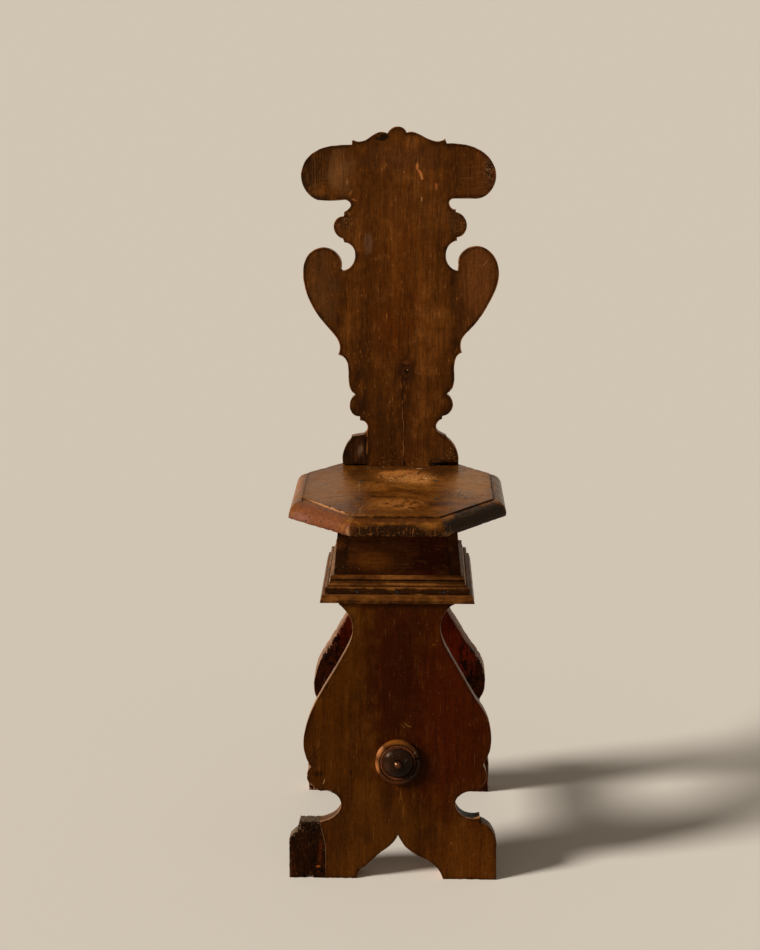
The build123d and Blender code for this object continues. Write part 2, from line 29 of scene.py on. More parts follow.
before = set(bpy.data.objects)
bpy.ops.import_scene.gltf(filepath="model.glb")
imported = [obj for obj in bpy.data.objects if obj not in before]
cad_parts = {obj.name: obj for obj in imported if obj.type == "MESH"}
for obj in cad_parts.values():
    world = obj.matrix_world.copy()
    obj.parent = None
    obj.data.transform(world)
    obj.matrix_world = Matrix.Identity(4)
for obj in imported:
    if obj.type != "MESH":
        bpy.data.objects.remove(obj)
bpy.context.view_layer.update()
scene = bpy.context.scene
print("frame loaded with", len(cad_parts), "nodes")

legLean = math.radians(8.41)
backLean = math.radians(6)
beyond = 10.0   # metres, past every surface of the chair


# Node trees

def paintColour(red, green, blue):
    # a colour as a picture shows it, turned into the linear numbers of a shader
    made = []
    for part in (red, green, blue):
        share = part / 255
        made.append(share / 12.92 if share <= 0.04045 else ((share + 0.055) / 1.055) ** 2.4)
    return (*made, 1)


class Wire:
    # one socket; sums written on it add Math nodes
    def __init__(self, bench, socket):
        self.bench = bench
        self.socket = socket

    def __add__(self, other):
        return self.bench.maths("ADD", self, other)

    def __sub__(self, other):
        return self.bench.maths("SUBTRACT", self, other)

    def __rsub__(self, other):
        return self.bench.maths("SUBTRACT", other, self)

    def __mul__(self, other):
        return self.bench.maths("MULTIPLY", self, other)

    __radd__ = __add__
    __rmul__ = __mul__


patterns = {    # repeats in a metre along each axis, then detail, roughness and distortion
    "band": ((26, 26, 1.8), 2.0, 0.5, 0.4), "patch": ((13, 13, 7), 3.0, 0.55),
    "mottle": ((62, 62, 48), 4.0, 0.62), "flame": ((120, 120, 10), 3.0, 0.6, 0.8),
    "streak": ((430, 430, 24), 3.0, 0.65, 0.25), "hair": ((1400, 1400, 75), 2.0, 0.6),
    "chatter": ((70, 70, 560), 2.0, 0.6, 0.3), "cloudy": ((210, 210, 150), 3.0, 0.65),
    "pore": ((1300, 1300, 60), 1.0), "dash": ((500, 500, 110), 2.0, 0.6),
    "fleck": ((260, 260, 260), 3.0, 0.7), "speck": ((420, 420, 420), 2.0, 0.6),
    "dust": ((480, 480, 360), 2.0, 0.6), "score": ((1, 1, 1), 1.0),
    "eaten": ((38, 38, 38), 1.0), "broken": ((55, 55, 55), 3.0, 0.7),
    "wave": ((22, 22, 9), 2.0, 0.4), "crust": ((700, 700, 700), 4.0, 0.65),
    "bloom": ((180, 180, 180), 3.0, 0.6),
}
broadFigure = ("band", "patch", "mottle")
fineFigure = ("flame", "streak", "hair", "chatter", "cloudy")
levels = {      # a pattern begins to show at the first value and is full at the second
    "pore": (0.63, 0.7), "dash": (0.61, 0.7), "wornAndGlinting": (0.46, 0.62), "speck": (0.66, 0.74),
    "dust": (0.68, 0.74), "score": (0.72, 0.76), "eaten": (0.52, 0.6), "hole": (0.16, 0.1),
    "broken": (0.42, 0.58), "scale": (0.7, 0.35),
}


class Bench:
    # the node tree that a finish is mixed on
    def __init__(self, tree):
        self.tree = tree

    def node(self, kind, settings=None, inputs=None, output=0):
        made = self.tree.nodes.new("ShaderNode" + kind)
        for name, value in (settings or {}).items():
            if name == "stops":
                elements = made.color_ramp.elements
                elements[0].position, elements[0].color = value[0]
                elements[-1].position, elements[-1].color = value[-1]
                for position, colour in value[1:-1]:
                    elements.new(position).color = colour
            else:
                setattr(made, name, value)
        for name, value in (inputs or {}).items():
            if isinstance(value, Wire):
                self.tree.links.new(value.socket, made.inputs[name])
            else:
                made.inputs[name].default_value = value
        return Wire(self, made.outputs[output])

    def maths(self, operation, *terms):
        return self.node("Math", {"operation": operation}, dict(enumerate(terms)))

    def vectors(self, operation, *terms):
        return self.node("VectorMath", {"operation": operation}, dict(enumerate(terms)))

    def blend(self, amount, under, over):
        settings = {"data_type": "RGBA", "clamp_factor": True}
        return self.node("Mix", settings, {0: amount, 6: under, 7: over}, 2)

    def paint(self, amount, under, tint):
        return self.blend(amount, under, paintColour(*tint))

    def ramp(self, value, places, tints):
        stops = [(place, paintColour(*tint)) for place, tint in zip(places, tints)]
        return self.node("ValToRGB", {"stops": stops}, {0: value})

    def fade(self, value, low, high):
        inputs = {"Value": value, "From Min": low, "From Max": high}
        return self.node("MapRange", {"interpolation_type": "SMOOTHSTEP"}, inputs)

    def cloud(self, vector, factors, detail=2.0, roughness=0.5, distortion=0.0):
        inputs = {"Vector": self.vectors("MULTIPLY", vector, factors), "Scale": 1.0,
                  "Detail": detail, "Roughness": roughness, "Distortion": distortion}
        return self.node("TexNoise", {}, inputs)

    def pattern(self, vector, name):
        return self.cloud(vector, *patterns[name])

    def specks(self, vector, name):
        return self.fade(self.pattern(vector, name), *levels[name])

    def cells(self, vector, scale):
        inputs = {"Vector": vector, "Scale": scale}
        return self.node("TexVoronoi", {"feature": "F1"}, inputs, "Distance")

    def stored(self, name):
        # a value that finishPiece wrote on the mesh
        settings = {"attribute_type": "GEOMETRY", "attribute_name": name}
        return self.node("Attribute", settings, {}, "Fac")

    def spot(self, vector, flat, centre, radii, soft, rag):
        # 1 inside an ellipse, 0 outside: a last number in radii is its turn in degrees,
        # flat is the axis it ignores, and rag frays its border
        count = len(centre)
        place, size, angle = list(centre), list(radii[:count]), [0, 0, 0]
        if count == 2:
            place.insert(flat, 0)
            size.insert(flat, beyond)
        angle[flat] = math.radians(sum(radii[count:]))
        inputs = {"Vector": vector, "Location": place, "Rotation": angle, "Scale": size}
        near = self.node("Mapping", {"vector_type": "TEXTURE"}, inputs)
        reach = self.node("VectorMath", {"operation": "LENGTH"}, {0: near}, "Value")
        return self.fade(reach + rag, 1.0, 1.0 - soft)


# Finishes

def startFinish(name):
    material = bpy.data.materials.new(name)
    material.use_nodes = True
    bench = Bench(material.node_tree)
    bench.shader = material.node_tree.nodes["Principled BSDF"]
    bench.place = bench.node("TexCoord", {}, {}, "Object")
    return material, bench


def setShader(bench, **values):
    for name, value in values.items():
        socket = bench.shader.inputs[name.replace("_", " ")]
        if isinstance(value, Wire):
            bench.tree.links.new(value.socket, socket)
        else:
            socket.default_value = value


woodDefaults = {
    "turn": (0, 0, 0),   # turns the board so that its grain runs along Z
    "flat": 1,           # the axis across the face that zones and marks lie on
    "shift": 0.0,        # moves the figure, so that no two boards share it
    "dark": (46, 22, 3), "middle": (80, 41, 7), "light": (112, 62, 20),
    "stops": (0.28, 0.5, 0.74),                 # where those three colours lie
    "band": 0.9, "patch": 0.8, "mottle": 0.8,   # broad colour
    "flame": 0.9, "streak": 1.5, "hair": 0.7, "chatter": 0.35, "cloudy": 0.8,   # the grain
    "pore": 0.5, "gold": 0.35, "goldColour": (158, 98, 44),
    "grime": 0.45, "dust": 0.3, "dustColour": (170, 124, 80),
    "scratch": 0.2, "scratches": ((0.5, (520, 520, 24)), (-0.9, (640, 640, 30))),
    "worm": 0.0, "wormScale": 120.0, "wormColour": (12, 6, 3),
    "rimDark": 0.55, "rimWidth": 0.005, "rimColour": (24, 10, 3),
    "crease": 0.85, "creaseWidth": 0.0022, "creaseCore": 0.0003, "creaseColour": (14, 7, 3),
    "arris": 0.5, "arrisColour": (150, 92, 46), "arrisWidth": 0.0011,
    "side": 0.45, "sideColour": (132, 80, 44),  # the board's thickness
    "roughness": 0.4, "specular": 0.14, "specularTint": (1.0, 0.66, 0.4, 1),
    "undulation": 0.001, "texture": 0.00025,   # heights of the relief
    "markRag": 0.9, "markDepth": 0.9, "markWave": 0.006,
    "zoneSoft": 0.8, "scuffSoft": 0.6, "markSoft": 0.6, "zoneRag": 1.0,
    "faceEnd": beyond, "faceFade": 0.006,   # scuffs and marks end at this depth in the board
    "zones": [], "scuffs": [], "dots": [], "marks": [],
}


def walnut(name, look):
    # Old walnut under wax. Zones tint soft areas, scuffs fill them with dashes, dots fill
    # them with small holes, and marks are single small wounds, stains, painted highlights
    # and painted shade.
    look = {**woodDefaults, **look}
    material, bench = startFinish(name)
    turned = bench.node("Mapping", {"vector_type": "POINT"},
                        {"Vector": bench.place, "Rotation": look["turn"]})
    shifted = bench.vectors("ADD", turned, (look["shift"],) * 3)
    sheet = bench.place if look["flat"] == 2 else turned

    figure = {kind: bench.pattern(shifted, kind) for kind in (*broadFigure, *fineFigure)}
    patch, mottle, streak = figure["patch"], figure["mottle"], figure["streak"]

    def mixed(start, kinds):
        return sum(((figure[kind] - 0.5) * look[kind] for kind in kinds), start)

    # broad colour: long bands, patches and a mottled polish
    tints = (look["dark"], look["middle"], look["light"])
    colour = bench.ramp(mixed(0.5, broadFigure), look["stops"], tints)
    side = bench.stored("side")
    colour = bench.paint(side * look["side"], colour, look["sideColour"])
    rag = ((mottle - 0.5) * 1.5 + (patch - 0.5) * 0.7) * look["zoneRag"]
    for centre, radii, tint, strength, *soft in look["zones"]:
        soft = soft[0] if soft else look["zoneSoft"]
        mask = bench.spot(sheet, look["flat"], centre, radii, soft, rag)
        colour = bench.paint(mask * strength, colour, tint)

    # the grain: flames, streaks, hairs and the cross lines left by the plane
    grain = bench.maths("MAXIMUM", mixed(1, fineFigure), 0.25)
    colour = bench.node("VectorMath", {"operation": "SCALE"}, {0: colour, "Scale": grain})

    # pores, golden flecks that are bare wood where the polish has gone and painted glints as well,
    # specks of dirt and dust, scratches
    pore = bench.specks(shifted, "pore")
    colour = bench.paint(pore * look["pore"], colour, look["rimColour"])
    dash = bench.specks(shifted, "dash")
    wornAndGlinting = bench.fade(mottle, *levels["wornAndGlinting"])
    colour = bench.paint(dash * wornAndGlinting * look["gold"], colour, look["goldColour"])
    fleck = bench.pattern(bench.place, "fleck")
    speck = bench.specks(bench.place, "speck")
    colour = bench.paint(speck * look["grime"], colour, look["rimColour"])
    dust = bench.specks(bench.place, "dust")
    colour = bench.paint(dust * look["dust"], colour, look["dustColour"])
    for lean, size in look["scratches"]:
        lines = bench.node("Mapping", {"vector_type": "POINT"},
                           {"Vector": turned, "Rotation": (0.1, lean, lean), "Scale": size})
        score = bench.specks(lines, "score")
        colour = bench.paint(score * look["scratch"], colour, look["arrisColour"])
    holes = 0.0
    if look["worm"]:
        cell = bench.cells(bench.place, look["wormScale"])
        eaten = bench.specks(bench.place, "eaten")
        holes = bench.fade(cell, *levels["hole"]) * eaten * look["worm"]
        colour = bench.paint(holes, colour, look["wormColour"])

    # dark rim inside each arris, painted shade along the rounded edges as well as handling dirt; on
    # the arris itself bare wood, which on the back board and the rear leg is a painted highlight as
    # well
    rim = bench.stored("rim")
    inner = bench.fade(rim + (mottle - 0.5) * look["rimWidth"] * 2, look["rimWidth"], 0.0)
    colour = bench.paint(inner * (1 - side) * look["rimDark"], colour, look["rimColour"])
    arrisStrip = bench.fade(rim, look["arrisWidth"], look["arrisWidth"] * 0.3)
    wornAndLitArris = arrisStrip * bench.specks(bench.place, "broken") * look["arris"]
    colour = bench.paint(wornAndLitArris, colour, look["arrisColour"])

    # painted shade and old dirt in the inner corners
    corner = bench.stored("crease") + (fleck - 0.5) * look["creaseWidth"]
    creaseShadeAndDirt = bench.fade(corner, look["creaseWidth"], look["creaseCore"])
    colour = bench.paint(creaseShadeAndDirt * look["crease"], colour, look["creaseColour"])

    # scuffs and dots, then marks with a drawn outline
    depth = bench.node("SeparateXYZ", {}, {0: turned}, "Y")
    face = bench.fade(depth, look["faceEnd"], look["faceEnd"] - look["faceFade"])
    for centre, radii, size, level, tint, strength in look["scuffs"]:
        where = bench.spot(sheet, look["flat"], centre, radii, look["scuffSoft"], rag) * face
        seen = bench.fade(bench.cloud(sheet, size, 3.0, 0.65), level, level + 0.07)
        colour = bench.paint(where * seen * strength, colour, tint)
    for centre, radii, size, level, tint, strength in look["dots"]:
        where = bench.spot(sheet, look["flat"], centre, radii, look["scuffSoft"], rag) * face
        cell = bench.cells(bench.vectors("MULTIPLY", sheet, size), 1.0)
        seen = where * bench.fade(cell, level, level * 0.6) * strength
        colour = bench.paint(seen, colour, tint)
        holes = seen + holes
    hollow = 0.0
    bend = bench.node("TexNoise", {}, {"Vector": bench.place, "Scale": 70.0, "Detail": 1.0},
                      "Color")
    bend = bench.vectors("SUBTRACT", bend, (0.5, 0.5, 0.5))
    wavy = bench.vectors("MULTIPLY_ADD", bend, (look["markWave"],) * 3, sheet)
    ragged = (fleck - 0.5) * look["markRag"]
    for centre, radii, tint, strength, *soft in look["marks"]:
        soft = soft[0] if soft else look["markSoft"]
        mask = bench.spot(wavy, look["flat"], centre, radii, soft, ragged) * face * strength
        colour = bench.paint(mask, colour, tint)
        hollow = bench.maths("MAXIMUM", hollow, mask)

    # how rough, and how high, each of those leaves the surface
    rough = (look["roughness"] + (streak - 0.5) * 0.25 + (mottle - 0.5) * 0.5 + speck * 0.2
             + wornAndLitArris * 0.15 + creaseShadeAndDirt * 0.4)
    height = (streak * 0.6 + figure["hair"] * 0.3 + fleck * 0.35 + figure["cloudy"] * 0.6
              - pore * 0.7 - speck * 0.5 - holes * 1.5 - hollow * look["markDepth"])
    swell = bench.node("Bump", {}, {"Strength": 0.6, "Distance": look["undulation"],
                                    "Height": bench.pattern(bench.place, "wave")})
    relief = bench.node("Bump", {}, {"Strength": 0.7, "Distance": look["texture"],
                                     "Height": height, "Normal": swell})
    setShader(bench, Base_Color=colour, Roughness=rough, Normal=relief,
              Specular_IOR_Level=look["specular"], Specular_Tint=look["specularTint"])
    return material


ironLook = {
    "stops": (0.3, 0.55, 0.8), "colours": ((14, 10, 8), (34, 25, 18), (74, 44, 26)),
    "roughness": 0.45, "metallic": 0.4, "crustHeight": 0.0002,
}


def forgedIron(name, look):
    material, bench = startFinish(name)
    crust = bench.pattern(bench.place, "crust")
    bloom = bench.pattern(bench.place, "bloom")
    colour = bench.ramp(bloom * 0.6 + crust * 0.4, look["stops"], look["colours"])
    relief = bench.node("Bump", {}, {"Strength": 0.8, "Distance": look["crustHeight"],
                                     "Height": crust})
    setShader(bench, Base_Color=colour, Roughness=look["roughness"] + crust * 0.35,
              Metallic=bench.fade(bloom, *levels["scale"]) * look["metallic"], Normal=relief)
    return material


# Shaping

shaping = {
    "merge": 0.00002, "slack": 0.00001,     # points closer than this become one
    "flatAngle": 0.5, "cornerAngle": 28, "smoothAngle": 38,
    "onFace": 0.995, "onSide": 0.75,    # cosines that tell a board's faces from its sides
    "spacing": 0.001, "farthest": 0.03,     # how finely and how far nearness is measured
    "nickNoise": (0.6, 2.0, 3), "crumbNoise": (0.7, 2.0, 3), "crumbShare": 0.12,
}


def nodeShape(nodeName):
    # a merged copy of the CAD node, with the flats in one face each
    shape = bmesh.new()
    shape.from_mesh(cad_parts[nodeName].data)
    bmesh.ops.remove_doubles(shape, verts=shape.verts, dist=shaping["merge"])
    bmesh.ops.dissolve_limit(shape, angle_limit=math.radians(shaping["flatAngle"]),
                             verts=shape.verts[:], edges=shape.edges[:],
                             use_dissolve_boundaries=False)
    shape.normal_update()
    return shape


def sharpEdges(shape, angle, faceNormal):
    # outer edges, where faceNormal is given only those of the board's two faces
    found = []
    for edge in shape.edges:
        if not (edge.is_manifold and edge.is_convex
                and edge.calc_face_angle() > math.radians(angle)):
            continue
        if faceNormal is None or any(abs(f.normal.dot(faceNormal)) > shaping["onFace"]
                                     for f in edge.link_faces):
            found.append(edge)
    return found


def innerCorners(shape):
    return [edge for edge in shape.edges if edge.is_manifold and not edge.is_convex
            and edge.calc_face_angle() > math.radians(shaping["cornerAngle"])]


def pointTree(points):
    tree = KDTree(max(1, len(points)))
    for i, point in enumerate(points or [Vector((beyond,) * 3)]):
        tree.insert(point, i)
    tree.balance()
    return tree


def edgePoints(edges):
    points = []
    for edge in edges:
        start, end = (v.co.copy() for v in edge.verts)
        count = max(1, math.ceil((end - start).length / shaping["spacing"]))
        points += [start.lerp(end, i / count) for i in range(count + 1)]
    return points


def gridCuts(shape, normal, step):
    # level cuts right through the piece, so that wear has something to move
    normal = Vector(normal).normalized()
    reach = [v.co.dot(normal) for v in shape.verts]
    low, high = min(reach), max(reach)
    count = max(1, round((high - low) / step))
    for i in range(1, count):
        place = normal * (low + (high - low) * i / count)
        everything = shape.verts[:] + shape.edges[:] + shape.faces[:]
        bmesh.ops.bisect_plane(shape, geom=everything, dist=shaping["slack"], plane_co=place,
                               plane_no=normal)


def fineZone(shape, centre, radius, step):
    # closer cuts round one worn place only
    centre = Vector(centre)
    for axis in range(3):
        normal = Vector([1.0 if i == axis else 0.0 for i in range(3)])
        near = dict.fromkeys(f for f in shape.faces
                             if (f.calc_center_median() - centre).length < radius)
        for face in list(near):
            near.update(dict.fromkeys([*face.verts, *face.edges]))
        near = list(near)
        for i in range(-int(radius / step), int(radius / step) + 1):
            place = centre + normal * (i * step)
            near = bmesh.ops.bisect_plane(shape, geom=near, dist=shaping["slack"],
                                          plane_co=place, plane_no=normal)["geom"]


def closeGap(shape, reach, ceiling, behind, level):
    # closes the far side of a gap, so that the gap shows as shade
    for vert in shape.verts:
        if vert.co.x > reach and level < vert.co.z < ceiling and vert.co.y > behind:
            vert.co.z = level
    flattened = [v for v in shape.verts if abs(v.co.z - level) < shaping["slack"]]
    bmesh.ops.remove_doubles(shape, verts=flattened, dist=shaping["merge"])
    bmesh.ops.dissolve_degenerate(shape, edges=shape.edges, dist=shaping["merge"])


def wearArrises(shape, tree, look):
    # rounds off and crumbles what hands and floors have rubbed
    shape.normal_update()
    moves = []
    for vert in shape.verts:
        near = tree.find(vert.co)[2]
        place = vert.co
        rough = noise.fractal(place * look["nickScale"], *shaping["nickNoise"])
        edge = max(0.0, 1 - near / look["nickWidth"])
        depth = edge * look["nick"] * max(0.0, rough + look["nickShare"])
        for centre, radius, hollow, scale in look["crumbs"]:
            away = (place - Vector(centre)).length
            if away < radius:
                crumb = noise.fractal(place * scale, *shaping["crumbNoise"])
                crumb = max(0.0, crumb + shaping["crumbShare"])
                depth += edge * hollow * crumb * (1 - (away / radius) ** 2)
        if depth > 0:
            moves.append((vert, vert.normal * -depth))
    for vert, move in moves:
        vert.co += move


def placed(name, data):
    made = bpy.data.objects.new(name, data)
    scene.collection.objects.link(made)
    return made


def finishPiece(shape, name, nodeNames, material, arrisTree, cornerTree, flat=None):
    shape.normal_update()
    for face in shape.faces:
        face.smooth = True
    hard = math.radians(shaping["smoothAngle"])
    for edge in shape.edges:
        edge.smooth = not (edge.is_manifold and edge.calc_face_angle() > hard)
    mesh = bpy.data.meshes.new(name)
    shape.to_mesh(mesh)
    shape.free()
    for attribute, tree in (("rim", arrisTree), ("crease", cornerTree)):
        values = [min(shaping["farthest"], tree.find(v.co)[2]) for v in mesh.vertices]
        mesh.attributes.new(attribute, "FLOAT", "POINT").data.foreach_set("value", values)
    thick = [float(flat is not None and abs(p.normal.dot(flat)) < shaping["onSide"])
             for p in mesh.polygons]
    mesh.attributes.new("side", "FLOAT", "FACE").data.foreach_set("value", thick)
    mesh.materials.append(material)
    piece = placed(name, mesh)
    weighted = piece.modifiers.new("evenNormals", "WEIGHTED_NORMAL")
    weighted.keep_sharp = True
    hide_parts(*nodeNames)
    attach(piece, "root")
    print("made", name, len(piece.data.polygons), "faces")


boardDefaults = {
    "angle": 50, "flat": None, "bevel": 0.0007, "segments": 2,
    "cuts": [], "fine": [],                     # where the mesh is cut closer
    "nick": 0.0006, "nickWidth": 0.003, "nickScale": 90.0, "nickShare": 0.0, "crumbs": [],
    "seam": None, "seamWidth": 0.0006,          # a glued seam's X, where no arris is worn
    "gap": None,
}


def boardCuts(rise, face, along, through):
    return {"flat": face, "cuts": [((1, 0, 0), along), (rise, along), (face, through)]}


def dressBoard(name, nodeName, material, look):
    look = {**boardDefaults, **look}
    shape = nodeShape(nodeName)
    flat = Vector(look["flat"]) if look["flat"] else None
    edges = sharpEdges(shape, look["angle"], flat)
    if look["seam"] is not None:
        edges = [e for e in edges
                 if any(abs(v.co.x - look["seam"]) > look["seamWidth"] for v in e.verts)]
    arrisTree = pointTree(edgePoints(edges))
    cornerTree = pointTree(edgePoints(innerCorners(shape)))
    bmesh.ops.bevel(shape, geom=edges, offset=look["bevel"], offset_type="OFFSET",
                    segments=look["segments"], profile=0.5, affect="EDGES", material=-1,
                    clamp_overlap=flat is None, loop_slide=True)
    for normal, step in look["cuts"]:
        gridCuts(shape, normal, step * (1))
    for centre, radius, step in look["fine"]:
        fineZone(shape, centre, radius, step)
    if look["gap"]:
        closeGap(shape, *look["gap"])
    wearArrises(shape, arrisTree, look)
    finishPiece(shape, name, [nodeName], material, arrisTree, cornerTree, flat)


# Back board

backFace = (0, -math.cos(backLean), math.sin(backLean))
backRise = (0, math.sin(backLean), math.cos(backLean))
backWood = walnut("backWalnut", {
    "turn": (backLean, 0, 0), "shift": 3.1, "faceEnd": 0.064, "roughness": 0.36, "specular": 0.08,
    "dark": (54, 27, 5), "middle": (81, 42, 8), "light": (108, 62, 22),
    # the golden flecks are painted glints as well as bare wood, the dark rim painted shade along
    # the rounded edges as well as handling dirt, and the arris paint a painted highlight on the lit
    # bevels as well as bare wood
    "mottle": 0.6, "gold": 0.55, "rimDark": 0.75, "rimWidth": 0.0065,
    "arris": 0.8, "arrisWidth": 0.0017, "arrisColour": (160, 96, 46), "band": 0.7,
    "zones": [
        ((0.004, 0.79), (0.05, 0.15), (88, 43, 6), 0.6),  # warm middle
        ((0.01, 0.86), (0.09, 0.05), (84, 44, 12), 0.5),
        ((0.0, 0.935), (0.07, 0.026), (78, 42, 18), 0.7),
        ((-0.0265, 0.964), (0.012, 0.0055, -10), (24, 13, 6), 1.0, 0.5),
        ((-0.128, 0.912), (0.036, 0.04), (46, 24, 9), 0.85, 0.7),  # dark end of the left ear
        ((-0.11, 0.88), (0.04, 0.012), (48, 26, 10), 0.7, 0.7),
        # a lighter patch on the left ear: painted sheen
        ((-0.084, 0.915), (0.026, 0.042), (116, 74, 38), 0.75, 1.0),
        ((0.112, 0.905), (0.04, 0.04), (82, 43, 14), 0.7),
        ((0.1235, 0.918), (0.007, 0.024), (30, 15, 6), 0.8, 0.6),
        ((-0.08, 0.847), (0.022, 0.022), (60, 34, 13), 0.75),  # knobs
        ((0.078, 0.852), (0.02, 0.022), (66, 38, 15), 0.7),
        ((-0.108, 0.76), (0.03, 0.075), (80, 48, 21), 0.75),  # lower ears
        ((0.108, 0.77), (0.032, 0.075), (100, 56, 24), 0.75),
        ((0.092, 0.71), (0.022, 0.05, -18), (66, 33, 10), 0.6),
        ((-0.045, 0.82), (0.008, 0.018, 4), (96, 64, 44), 0.75, 0.6),  # greyish bloom
        ((-0.012, 0.705), (0.04, 0.06), (84, 38, 4), 0.6),
        ((0.009, 0.642), (0.022, 0.026), (50, 22, 5), 0.8),  # round the knot
        ((0.0, 0.535), (0.085, 0.034), (72, 37, 10), 0.7),
        ((0.06, 0.525), (0.02, 0.02), (84, 48, 20), 0.5),
    ],
    "scuffs": [
        ((0.115, 0.905), (0.04, 0.045), (60, 60, 620), 0.56, (122, 72, 32), 0.45),
        ((-0.105, 0.893), (0.045, 0.026), (50, 60, 560), 0.56, (104, 66, 32), 0.4),
        ((-0.11, 0.912), (0.03, 0.04), (460, 460, 26), 0.56, (104, 66, 30), 0.5),
        # pale flecks at the right ear end: painted glints
        ((0.122, 0.915), (0.01, 0.028), (420, 420, 420), 0.56, (150, 112, 78), 0.7),
        ((-0.082, 0.85), (0.026, 0.03), (460, 460, 300), 0.57, (150, 100, 54), 0.6),
        ((0.08, 0.852), (0.024, 0.028), (460, 460, 300), 0.58, (140, 92, 50), 0.5),
        ((0.0, 0.512), (0.07, 0.016), (300, 300, 300), 0.58, (140, 88, 44), 0.55),
        ((0.075, 0.52), (0.018, 0.026), (420, 420, 420), 0.57, (150, 102, 58), 0.6),
    ],
    "marks": [
        ((0.0087, 0.639), (0.017, 0.019), (38, 17, 4), 0.8, 0.7),  # knot
        ((0.008, 0.654), (0.008, 0.0035), (104, 58, 22), 0.6, 0.8),
        ((0.0087, 0.641), (0.0084, 0.0094), (72, 37, 13), 0.7, 0.4),
        ((0.0092, 0.641), (0.006, 0.0066), (18, 8, 2), 0.9),
        ((0.01, 0.6432), (0.0014, 0.0016), (150, 108, 70), 0.8, 0.5),
        ((0.003, 0.608), (0.0008, 0.022, 6), (40, 18, 6), 0.8, 0.7),  # crack
        ((0.0046, 0.57), (0.0009, 0.032, -2), (150, 94, 52), 0.6, 0.8),
        ((0.0058, 0.532), (0.001, 0.02, 2), (156, 102, 58), 0.7, 0.7),
        ((0.0066, 0.508), (0.0013, 0.012), (16, 8, 4), 0.95, 0.5),
        ((0.0228, 0.925), (0.0024, 0.0062, 6), (178, 108, 54), 0.85, 0.4),  # gouge
        ((0.0258, 0.918), (0.0022, 0.005, -40), (172, 102, 50), 0.85, 0.4),
        ((0.029, 0.912), (0.0027, 0.007, -24), (186, 118, 62), 0.85, 0.4),
        ((0.0215, 0.932), (0.0016, 0.005, 30), (60, 32, 12), 0.7),
        ((0.0283, 0.8803), (0.0013, 0.0045), (176, 124, 84), 0.75, 0.5),
        ((0.0492, 0.8975), (0.0026, 0.0075, 8), (160, 92, 44), 0.7, 0.7),
        ((-0.0735, 0.903), (0.0014, 0.0052), (166, 112, 66), 0.6),
        ((-0.07, 0.888), (0.003, 0.005, 20), (140, 84, 40), 0.6),
        ((-0.063, 0.879), (0.004, 0.0016, 14), (160, 98, 50), 0.6),
        ((0.118, 0.793), (0.0009, 0.0085, 28), (140, 92, 54), 0.6),
        ((0.086, 0.814), (0.0035, 0.001, -40), (160, 116, 78), 0.7),
        ((-0.014, 0.598), (0.001, 0.003, 10), (150, 108, 76), 0.6),
        ((0.044, 0.754), (0.0011, 0.0016), (150, 92, 48), 0.6),
        ((0.03, 0.72), (0.0012, 0.0018), (128, 74, 34), 0.6),
    ],
})
dressBoard("backBoard", "back_board", backWood, {
    **boardCuts(backRise, backFace, 0.005, 0.006),
    "nick": 0.0009, "nickShare": 0.05, "gap": (0.047, 0.5075, 0.107, 0.4994),
    "fine": [((0.09, 0.101, 0.512), 0.022, 0.002), ((0.0, 0.1, 0.502), 0.02, 0.003)],
    "crumbs": [
        ((0.09, 0.101, 0.512), 0.022, 0.005, 260), ((0.0, 0.1, 0.502), 0.05, 0.003, 240),
        ((0.118, 0.142, 0.9), 0.03, 0.0022, 200), ((0.108, 0.121, 0.7), 0.015, 0.003, 260),
    ],
})

footWood = walnut("backFootWood", {
    "turn": (backLean, 0, 0), "shift": 5.7, "dark": (24, 10, 3), "middle": (48, 23, 9),
    "light": (70, 38, 18), "rimDark": 0.6, "specular": 0.08,
    "zones": [
        # a pale vertical streak: painted highlight
        ((-0.056, 0.529), (0.006, 0.013, 10), (124, 96, 70), 0.6),
        ((-0.088, 0.512), (0.02, 0.01), (72, 40, 20), 0.5),
    ],
})
dressBoard("backFootRepair", "back_foot_repair", footWood, {
    **boardCuts(backRise, backFace, 0.004, 0.006),
    "nick": 0.0009, "nickShare": 0.1,
})

# Seat

